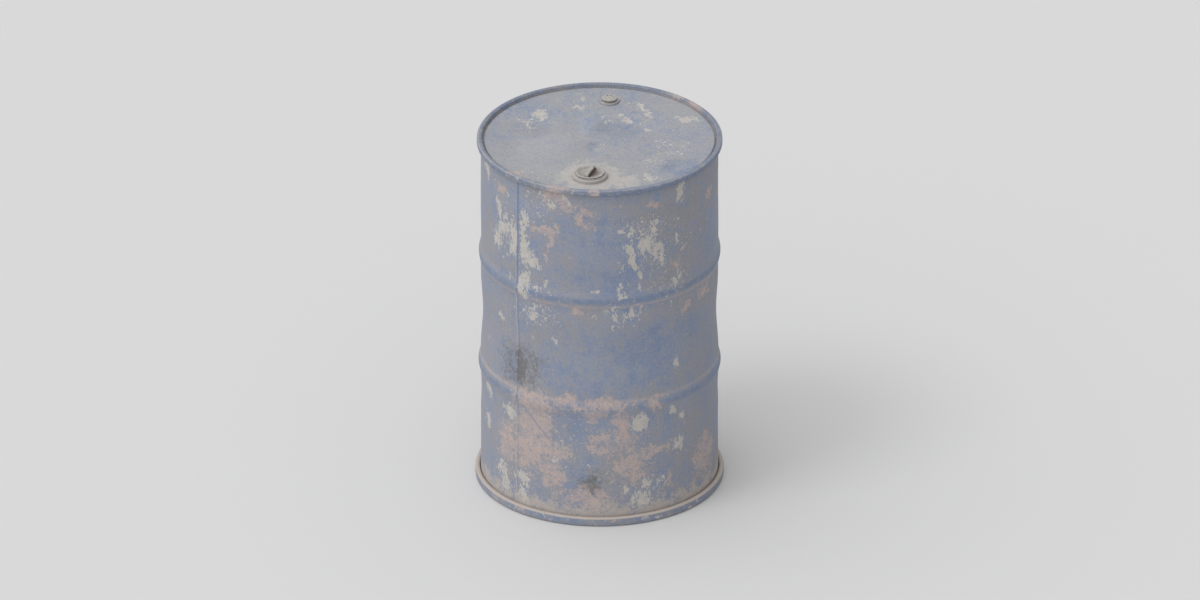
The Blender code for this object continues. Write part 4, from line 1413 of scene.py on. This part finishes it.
def mark_top_head(mesh):
    """The fields that the top head's material reads."""
    points = points_of(mesh)
    x, y, height = points[:, 0], points[:, 1], points[:, 2]
    radius = radius_of(points)
    depth = sizes().height - height
    from_chuck = radius - chuck_radius()
    outside = sizes().radius + TOP_CHIME.overhang
    on_chime = smooth(-0.002, 0.001, from_chuck)
    chime = on_chime > 0.5

    # Dust round the bungs and in the countersink; dirt with painted shade at the bosses' feet and at the
    # countersink's bottom; painted shade under the chime
    dust = soft_field(panel_patches(HEAD_DUST), x, y)
    grime = 0.0
    for closure, reach, amount in ((LARGE, 0.066, 1.00), (SMALL, 0.016, 0.40)):
        middle_x, middle_y = closure_place(closure)
        spread = np.hypot(x - middle_x, y - middle_y) - closure.boss_radius
        dust = np.maximum(dust, amount * smooth(reach, 0.0, spread))
        root = hump((spread - 0.0006) / 0.0030) * smooth(0.004, 0.001, height - panel_height())
        grime = np.maximum(grime, 0.45 * root)
    dust = np.maximum(dust, 0.8 * smooth(0.007, 0.010, depth) * smooth(-0.012, -0.009, from_chuck))
    groove = smooth(0.0006, -0.001, from_chuck) * smooth(0.008, 0.013, depth)
    groove *= smooth(-COUNTERSINK_WIDTH - 0.005, -COUNTERSINK_WIDTH - 0.001, from_chuck)
    heel = smooth(TOP_CHIME.depth - 0.002, TOP_CHIME.depth, depth) * on_chime

    # The chime: darker overall, its top lighter, partly worn and partly painted light, a painted highlight
    # along its outer shoulder, worn crests at its outer and inner edges, and its stronger blue at the front
    # right
    crown = smooth(0.0030, 0.0008, depth)
    shoulder_highlight = hump((radius - outside + 0.0026) / 0.0024) * smooth(0.0050, 0.0030, depth)
    outer_crest = smooth(outside - 0.0050, outside - 0.0015, radius) * smooth(0.0055, 0.0015, depth)
    inner_crest = hump((from_chuck - 0.001) / 0.0025) * smooth(0.004, 0.001, depth)
    right_front = hump(turn_between(azimuth_of(points), 42.0) / 60.0)
    chime_blue = (0.55 + 0.30 * right_front) * (1.0 - 0.6 * crown) * (1.0 - 0.7 * shoulder_highlight)
    # Painted light: the top a little lighter and a painted highlight along the outer shoulder
    chime_tone = -1.8 + 0.4 * crown + 1.5 * shoulder_highlight

    flakes = np.clip(soft_field(panel_patches(HEAD_FLAKES), x, y), 0.0, 1.2)
    store(
        mesh,
        chip=np.where(chime, -1.0, hard_field(panel_patches(HEAD_CHIPS), x, y) - 0.10),
        rust=hard_field(panel_patches(HEAD_STAINS), x, y),
        # On the panel, film and tone carry the buckles' painted light and shade; on the chime, tone is
        # darker with a lighter top and a painted highlight
        film=np.where(chime, -0.2, 0.55 + soft_field(panel_patches(HEAD_FILM_AND_SHADING), x, y)),
        tone=np.where(chime, chime_tone, soft_field(panel_patches(HEAD_BUCKLE_SHADING), x, y)),
        kept=on_chime * chime_blue,
        line=0.0,
        flakes=np.where(chime, 0.25, flakes),
        dust=np.where(chime, 0.0, dust),
        grime=np.maximum(np.maximum(grime, 0.10 * groove), 0.15 * heel),
        crest=np.maximum(outer_crest, inner_crest),
    )


def make_bottom_head():
    """The bottom head, a plain dished panel in its chime."""
    chuck = chuck_radius()
    panel = BOTTOM_PANEL_DEPTH + SHEET / 2
    rim = chuck - PANEL_BEND
    section = head_hook(BOTTOM_CHIME)
    below = panel - PANEL_BEND * 2
    section += rounded([(chuck, below, 0.0), (chuck, panel, PANEL_BEND), (rim, panel, 0.0)])
    section += panel_rings(rim, panel, FOOT_PANEL_ROW)
    return pressed_head("bottom_head_looks", section, FOOT_COLUMNS, BOTTOM_BUCKLES, rim, ())


def mark_bottom_head(mesh):
    """The fields that the bottom head's material reads."""
    points = points_of(mesh)
    radius, azimuth, height = radius_of(points), azimuth_of(points), points[:, 2]
    random = np.random.default_rng(HIDDEN_SIDE_SEED + 1)
    chips = [
        Patch(
            across=random.uniform(-math.pi, math.pi) * sizes().radius,
            up=random.uniform(0.002, 0.020),
            half_across=random.uniform(0.006, 0.020),
            half_up=random.uniform(0.003, 0.008),
            turn=0.0,
            strength=random.uniform(0.6, 1.0),
        )
        for _ in range(FOOT_CHIPS)
    ]
    across = np.radians(azimuth) * sizes().radius
    outside = sizes().radius + BOTTOM_CHIME.overhang
    on_chime = smooth(-0.001, 0.001, radius - chuck_radius())
    chip = hard_field(chips, across, height, math.tau * sizes().radius) - 0.25
    ledge = smooth(BOTTOM_CHIME.depth - 0.0050, BOTTOM_CHIME.depth - 0.0010, height) * on_chime
    low = smooth(0.005, 0.001, height) * on_chime
    store(
        mesh,
        chip=np.where(on_chime > 0.5, chip, -1.0),
        rust=0.15 * np.sin(np.radians(azimuth) * 5.0) - 0.15 - 0.4 * on_chime,
        film=0.1,
        tone=0.0,
        kept=0.5 * smooth(outside - 0.002, outside - 0.0005, radius),
        line=0.0,
        flakes=0.45,
        ledge=np.maximum(1.2 * ledge, 0.6 * low),
        # Painted shade where the chime turns under towards the floor
        grime=0.35 * smooth(outside, outside - 0.004, radius) * low,
    )


# The bungs
Levels = namedtuple("Levels", "plate_bottom plate_top lip_top gasket_bottom gasket_top rim_bottom rim_top")


def levels(closure):
    """Heights of a closure's layers over the panel."""
    plate_top = closure.boss_height - SHEET - CLEARANCE - closure.seal_thickness - CLEARANCE
    lip_top = closure.boss_height + CLEARANCE + closure.lip_thickness
    gasket_bottom = lip_top + CLEARANCE
    gasket_top = gasket_bottom + closure.gasket_thickness
    rim_bottom = gasket_top + CLEARANCE
    return Levels(
        plate_bottom=plate_top - closure.plate_thickness,
        plate_top=plate_top,
        lip_top=lip_top,
        gasket_bottom=gasket_bottom,
        gasket_top=gasket_top,
        rim_bottom=rim_bottom,
        rim_top=rim_bottom + closure.rim_thickness,
    )


def threaded_wall(closure, radius, start, end):
    """Points of a wall that is to carry the thread, from one height to another."""
    rows = round(abs(end - start) / closure.pitch * THREAD_ROWS_PER_TURN)
    return [(radius, start + (end - start) * row / rows) for row in range(1, rows)]


def cut_thread(mesh, closure, radius, start, end):
    """Cuts the thread into the wall of this radius, before the mesh is moved to its place."""
    points = points_of(mesh)
    away = radius_of(points)
    height = points[:, 2]
    low, high = min(start, end), max(start, end)
    on_wall = (np.abs(away - radius) < ON_WALL) & (height > low) & (height < high)
    turn = np.arctan2(points[:, 1], points[:, 0]) / math.tau
    tooth = 1.0 - np.abs(((height / closure.pitch - turn) % 1.0) * 2.0 - 1.0)
    tooth = np.clip(tooth * TOOTH_STEEPNESS - TOOTH_ROOT, 0.0, 1.0)
    run_out = smooth(0.0, closure.pitch, np.minimum(height - low, high - height))
    wanted = radius - closure.thread_depth * (1.0 - tooth * run_out)
    factor = np.where(on_wall, wanted / np.maximum(away, ON_WALL), 1.0)
    points[:, :2] *= factor[:, None]
    move_points(mesh, points)


def make_insert(closure):
    """The screwed insert: a plate under the head, a threaded neck through the hole, a lip over its edge."""
    at = levels(closure)
    neck = closure.hole_radius - CLEARANCE
    bore = closure.thread_radius + CLEARANCE
    plate = closure.boss_radius - SHEET - 2 * CLEARANCE
    bottom = at.plate_bottom - closure.sleeve_length
    lip_bend = closure.lip_thickness * 0.45
    corners = [
        (bore, at.lip_top, 0.0),
        (closure.lip_radius, at.lip_top, lip_bend),
        (closure.lip_radius, closure.boss_height + CLEARANCE, lip_bend),
        (neck, closure.boss_height + CLEARANCE, 0.0),
        (neck, at.plate_top, 0.0),
        (plate, at.plate_top, 0.0004),
        (plate, at.plate_bottom, 0.0008),
        (neck, at.plate_bottom, 0.0),
        (neck, bottom, 0.0006),
        (bore, bottom, 0.0),
    ]
    section = rounded(corners, 3) + threaded_wall(closure, bore, bottom, at.lip_top)
    mesh = finished(spun(section, closure.columns, closed=True), closure.name + "_insert_looks")
    cut_thread(mesh, closure, bore, bottom, at.lip_top)
    move_to_closure(mesh, closure)
    mesh.set_sharp_from_angle(angle=SMOOTH_ANGLE)
    return new_object(mesh.name, mesh)


def make_gasket(closure):
    """The flat ring that a bung presses on its insert."""
    at = levels(closure)
    inner = closure.thread_radius + CLEARANCE
    outer = closure.rim_radius - closure.gasket_inset
    bend = closure.gasket_thickness * 0.4
    top, bottom = at.gasket_top, at.gasket_bottom
    corners = [(outer, top, bend), (outer, bottom, bend), (inner, bottom, bend), (inner, top, bend)]
    return turned_piece(closure.name + "_gasket_looks", rounded(corners, 3), closure)


def turned_bung(closure, top_corners, floor_top):
    """A bung turned from its top middle, down its rim and its screwed skirt to its hollow."""
    at = levels(closure)
    screwed = closure.thread_radius
    skirt_bottom = at.rim_bottom - closure.skirt_length
    hollow = screwed - closure.skirt_wall
    hollow_top = floor_top - closure.floor_thickness
    thread = threaded_wall(closure, screwed, at.rim_bottom, skirt_bottom)
    corners = [
        *top_corners,
        (closure.rim_radius, at.rim_top, closure.rim_thickness * 0.3),
        (closure.rim_radius, at.rim_bottom, closure.rim_thickness * 0.15),
        (screwed, at.rim_bottom, 0.0),
        *[(radius, height, 0.0) for radius, height in thread],
        (screwed, skirt_bottom, 0.0),
        (hollow, skirt_bottom, 0.0005),
        (hollow, hollow_top, 0.0012),
        (0.0, hollow_top, 0.0),
    ]
    mesh = finished(spun(rounded(corners, 3), closure.columns), closure.name + "_bung_looks")
    cut_thread(mesh, closure, screwed, at.rim_bottom, skirt_bottom)
    return new_object(mesh.name, mesh)


def make_large_bung():
    """Dished top with a bar across it, tapered and with worn edges."""
    rim_top = levels(LARGE).rim_top
    floor = rim_top - DISH_DEPTH
    lip = LARGE.rim_radius - DISH_RIM
    dish = [(0.0, floor, 0.0), (DISH_FLOOR_RADIUS, floor, 0.0020), (lip - 0.0010, rim_top, 0.0010)]
    bung = turned_bung(LARGE, dish, floor)
    bar = bmesh.new()
    bmesh.ops.create_cube(bar, size=1.0)
    bmesh.ops.scale(bar, vec=(BAR_WIDTH, BAR_LENGTH, BAR_HEIGHT + BAR_ROOT), verts=bar.verts)
    upper = [vert for vert in bar.verts if vert.co.z > 0.0]
    bmesh.ops.scale(bar, vec=(BAR_TAPER, 0.97, 1.0), verts=upper)
    bmesh.ops.bevel(
        bar,
        geom=list(bar.edges),
        offset=BAR_BEVEL,
        segments=3,
        profile=0.5,
        affect="EDGES",
        material=-1,
    )
    bmesh.ops.translate(bar, vec=(0.0, 0.0, floor + (BAR_HEIGHT - BAR_ROOT) / 2), verts=bar.verts)
    turn = Matrix.Rotation(math.radians(BAR_TURN), 3, "Z")
    bmesh.ops.rotate(bar, cent=(0.0, 0.0, 0.0), matrix=turn, verts=bar.verts)
    combine(bung, [new_object("bar", finished(bar, "bar"))], "UNION")
    move_to_closure(bung.data, LARGE)
    return bung


def mark_large_bung(mesh):
    """Painted shade in the dish's corner, under the rim, on the bar's right-hand side and as the bar's
    shadow on the dish floor.
    """
    points = points_round(mesh, LARGE)
    radius, height = radius_of(points), points[:, 2]
    cosine, sine = direction(-BAR_TURN)
    side = points[:, 0] * cosine - points[:, 1] * sine
    along = np.abs(points[:, 0] * sine + points[:, 1] * cosine)
    floor = levels(LARGE).rim_top - DISH_DEPTH
    on_floor = np.abs(height - floor) < NEAR
    on_bar = (height > floor + NEAR) & (np.abs(side) < BAR_WIDTH / 2 + BAR_MARGIN)
    on_bar &= along < BAR_LENGTH / 2 + BAR_MARGIN
    # Painted shade down the bar's right-hand side, and the bar's painted shadow on the dish floor to its
    # right
    right = smooth(0.0038, 0.0052, side) * smooth(BAR_HEIGHT - 0.0006, BAR_HEIGHT - 0.0022, height - floor)
    shade = smooth(0.0125, 0.0062, side) * smooth(0.0040, 0.0060, side) * (along < BAR_LENGTH / 2)
    # Painted shade in the dish's corner and under the rim
    low = (height < floor + 0.0015) & (height > floor - 0.001)
    corner = hump((radius - DISH_FLOOR_RADIUS) / 0.0022) * low
    under = (height < levels(LARGE).rim_bottom + NEAR) & (radius < LARGE.rim_radius)
    grime = np.where(on_bar, right, np.where(on_floor, shade, 0.0))
    store(mesh, grime=np.maximum(np.maximum(grime, 0.5 * corner), 0.35 * under))


def make_small_bung():
    """Flat top with two pockets for a pin wrench."""
    rim_top = levels(SMALL).rim_top
    bung = turned_bung(SMALL, [(0.0, rim_top, 0.0)], rim_top)
    pockets = []
    for side in (-1, 1):
        middle = (*at_azimuth(180.0 + side * POCKET_HALF_SPREAD, POCKET_REACH), rim_top)
        upper = [(0.0, POCKET_DEPTH), (POCKET_RADIUS, POCKET_DEPTH)]
        lower = [(POCKET_RADIUS, -POCKET_DEPTH), (0.0, -POCKET_DEPTH)]
        mesh = finished(spun(upper + lower, POCKET_COLUMNS), "pocket")
        mesh.transform(Matrix.Translation(middle))
        pockets.append(new_object("pocket", mesh))
    combine(bung, pockets, "DIFFERENCE")
    move_to_closure(bung.data, SMALL)
    return bung


def mark_small_bung(mesh):
    """Painted shade in the pockets and down the rim's side."""
    points = points_round(mesh, SMALL)
    radius = radius_of(points)
    above = points[:, 2] - levels(SMALL).rim_top
    side = smooth(-0.0004, -0.0016, above) * (radius > SMALL.rim_radius - 0.001)
    pocket = (above < -0.0003) & (above > -0.002) & (radius < SMALL.rim_radius - 0.002)
    store(mesh, grime=np.maximum(0.75 * side, pocket))


def mark_insert(mesh, closure):
    """Painted shade on the insert where the bung covers it and below its lip."""
    points = points_round(mesh, closure)
    covered = smooth(closure.rim_radius + 0.0006, closure.rim_radius - 0.0012, radius_of(points))
    below = smooth(-0.0003, -0.0010, points[:, 2] - levels(closure).lip_top)
    store(mesh, grime=np.maximum(0.9 * covered, 0.6 * below))


def dress(piece, made, body, slot, *nodes):
    """Gives a finished piece its material and its body, and hides the CAD nodes that it stands for. The
    slot is not used.
    """
    piece.data.materials.clear()
    piece.data.materials.append(made)
    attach(piece, body)
    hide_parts(*nodes)


class BARREL_OT_body(Operator):
    """Build the wall with its hoops, dents and weld"""

    bl_idname = "barrel.body"
    bl_label = "Body"

    def execute(self, context):
        mesh = finished(spun(body_section(), BODY_COLUMNS), "body_looks")
        move_points(mesh, shape_wall(respace_columns(points_of(mesh), BODY_COLUMNS)))
        body = new_object("body_looks", mesh)
        give_thickness(body)
        mark_body(body.data)
        dress(body, body_material(), "drum", "body_paint", "body_shell")
        return {"FINISHED"}


class BARREL_OT_heads(Operator):
    """Build the top head with its bosses, and the bottom head"""

    bl_idname = "barrel.heads"
    bl_label = "Heads"

    def execute(self, context):
        top = make_top_head()
        mark_top_head(top.data)
        dress(top, head_material(), "drum", "head_paint", "top_head")
        bottom = make_bottom_head()
        mark_bottom_head(bottom.data)
        dress(bottom, foot_material(), "drum", "foot_paint", "bottom_head")
        return {"FINISHED"}


class BARREL_OT_bungs(Operator):
    """Build both bungs, their screwed inserts and their gaskets"""

    bl_idname = "barrel.bungs"
    bl_label = "Bungs"

    def execute(self, context):
        zinc = zinc_material()
        rubber = rubber_material("aged_rubber", wear().rubber)
        for closure in (LARGE, SMALL):
            insert = make_insert(closure)
            mark_insert(insert.data, closure)
            dress(insert, zinc, "drum", "zinc", closure.name + "_bung_flange")
            gasket = make_gasket(closure)
            dress(gasket, rubber, closure.name + "_gasket", "gasket", closure.name + "_bung_gasket")
        large = make_large_bung()
        mark_large_bung(large.data)
        dress(large, zinc, "large_bung", "zinc", "large_bung")
        small = make_small_bung()
        mark_small_bung(small.data)
        dress(small, zinc, "small_bung", "zinc", "small_bung")
        return {"FINISHED"}


class BARREL_OT_seals(Operator):
    """Give the seals that stay from the CAD model their materials"""

    bl_idname = "barrel.seals"
    bl_label = "Seals"

    def execute(self, context):
        finishes = {
            "seam_compound": rubber_material("seam_compound", wear().compound),
            "flange_gasket": rubber_material("flange_rubber", wear().rubber),
        }
        for name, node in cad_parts.items():
            for ending, made in finishes.items():
                if name.endswith(ending):
                    node.material_slots[0].material = made
        return {"FINISHED"}


# Stage: the shares of the light on the floor come from the shadows in the photograph
FLOOR_SIZE = 30.0
FLOOR_DROP = 0.0003
PALE = srgb(215, 215, 215)
Lamp = namedtuple("Lamp", "name azimuth elevation softness strength")
KEY = Lamp(name="key_light", azimuth=-57.5, elevation=56.0, softness=21.0, strength=0.485)
FILL = Lamp(name="fill_light", azimuth=-20.0, elevation=42.0, softness=60.0, strength=0.24)
LAMP_DISTANCE = 4.0
SKY = srgb(236, 236, 236)
SKY_SLANT = 0.50
SKY_HORIZON = 0.70
SKY_RISE = 0.46


def add_sun(lamp):
    """A soft distant lamp that shines from its azimuth and elevation."""
    light = bpy.data.lights.new(lamp.name, "SUN")
    light.energy = lamp.strength
    light.angle = math.radians(lamp.softness)
    flat, rise = direction(lamp.elevation)
    towards = Vector((*at_azimuth(lamp.azimuth, flat), rise))
    holder = new_object(lamp.name, light)
    holder.location = towards * LAMP_DISTANCE
    holder.rotation_euler = towards.to_track_quat("Z", "Y").to_euler()


def studio_world():
    """A pale surround that is lighter on the left. The camera and reflections see it plain."""
    world = bpy.data.worlds.new("studio")
    world.use_nodes = True
    graph = Graph(world.node_tree)
    towards = graph.add("ShaderNodeSeparateXYZ")
    graph.put(towards.inputs[0], graph.add("ShaderNodeTexCoord").outputs["Generated"])
    slant = graph.plus(towards.outputs["X"], -SKY_SLANT, SKY_HORIZON)
    slant = graph.plus(towards.outputs["Z"], SKY_RISE, slant)
    ray = graph.add("ShaderNodeLightPath").outputs
    plain = graph.highest(ray["Is Camera Ray"], ray["Is Glossy Ray"], ray["Is Transmission Ray"])
    sky = graph.mix(plain, graph.shaded(SKY, slant), PALE)
    graph.put(world.node_tree.nodes["Background"].inputs["Color"], sky)
    return world


class BARREL_OT_stage(Operator):
    """Add the floor, the soft light and the camera"""

    bl_idname = "barrel.stage"
    bl_label = "Stage"

    def execute(self, context):
        scene = context.scene
        shape = bmesh.new()
        bmesh.ops.create_grid(shape, x_segments=1, y_segments=1, size=FLOOR_SIZE / 2)
        bmesh.ops.translate(shape, vec=(0.0, 0.0, -FLOOR_DROP), verts=shape.verts)
        floor = new_object("floor", finished(shape, "floor"))
        matt = bpy.data.materials.new("pale_floor")
        matt.use_nodes = True
        shader = shader_of(matt)
        shader.inputs["Base Color"].default_value = (*PALE, 1.0)
        shader.inputs["Roughness"].default_value = 1.0
        shader.inputs["Specular IOR Level"].default_value = 0.0
        floor.data.materials.append(matt)

        scene.world = studio_world()
        add_sun(KEY)
        add_sun(FILL)

        lens = bpy.data.cameras.new("camera")
        lens.type = "ORTHO"
        lens.ortho_scale = CAMERA_SCALE
        lens.clip_end = CAMERA_REACH
        camera = new_object("camera", lens)
        back = Vector((0.0, -math.cos(CAMERA_ELEVATION), math.sin(CAMERA_ELEVATION)))
        camera.location = CAMERA_TARGET + back * CAMERA_DISTANCE
        camera.rotation_euler = (math.pi / 2 - CAMERA_ELEVATION, 0.0, 0.0)
        scene.camera = camera
        scene.view_settings.view_transform = "Standard"
        return {"FINISHED"}


class BARREL_PT_sidebar(Panel):
    """Sizes, wear and building steps of the barrel"""

    bl_idname = "BARREL_PT_sidebar"
    bl_label = "Oil Barrel"
    bl_space_type = "VIEW_3D"
    bl_region_type = "UI"
    bl_category = "Oil Barrel"

    def draw(self, context):
        layout = self.layout
        for group in (context.scene.barrel_sizes, context.scene.barrel_wear):
            box = layout.box()
            for name in group.__annotations__:
                box.prop(group, name)
        for step in STEPS:
            layout.operator(step.bl_idname)


STEPS = (BARREL_OT_body, BARREL_OT_heads, BARREL_OT_bungs, BARREL_OT_seals, BARREL_OT_stage)
CLASSES = (BarrelSizes, BarrelWear, *STEPS, BARREL_PT_sidebar)


def register():
    for made in CLASSES:
        bpy.utils.register_class(made)
    bpy.types.Scene.barrel_sizes = PointerProperty(type=BarrelSizes)
    bpy.types.Scene.barrel_wear = PointerProperty(type=BarrelWear)


def unregister():
    del bpy.types.Scene.barrel_wear
    del bpy.types.Scene.barrel_sizes
    for made in reversed(CLASSES):
        bpy.utils.unregister_class(made)


def main():
    register()
    bpy.ops.barrel.body()
    bpy.ops.barrel.heads()
    bpy.ops.barrel.bungs()
    bpy.ops.barrel.seals()
    bpy.ops.barrel.stage()


if __name__ == "__main__":
    main()
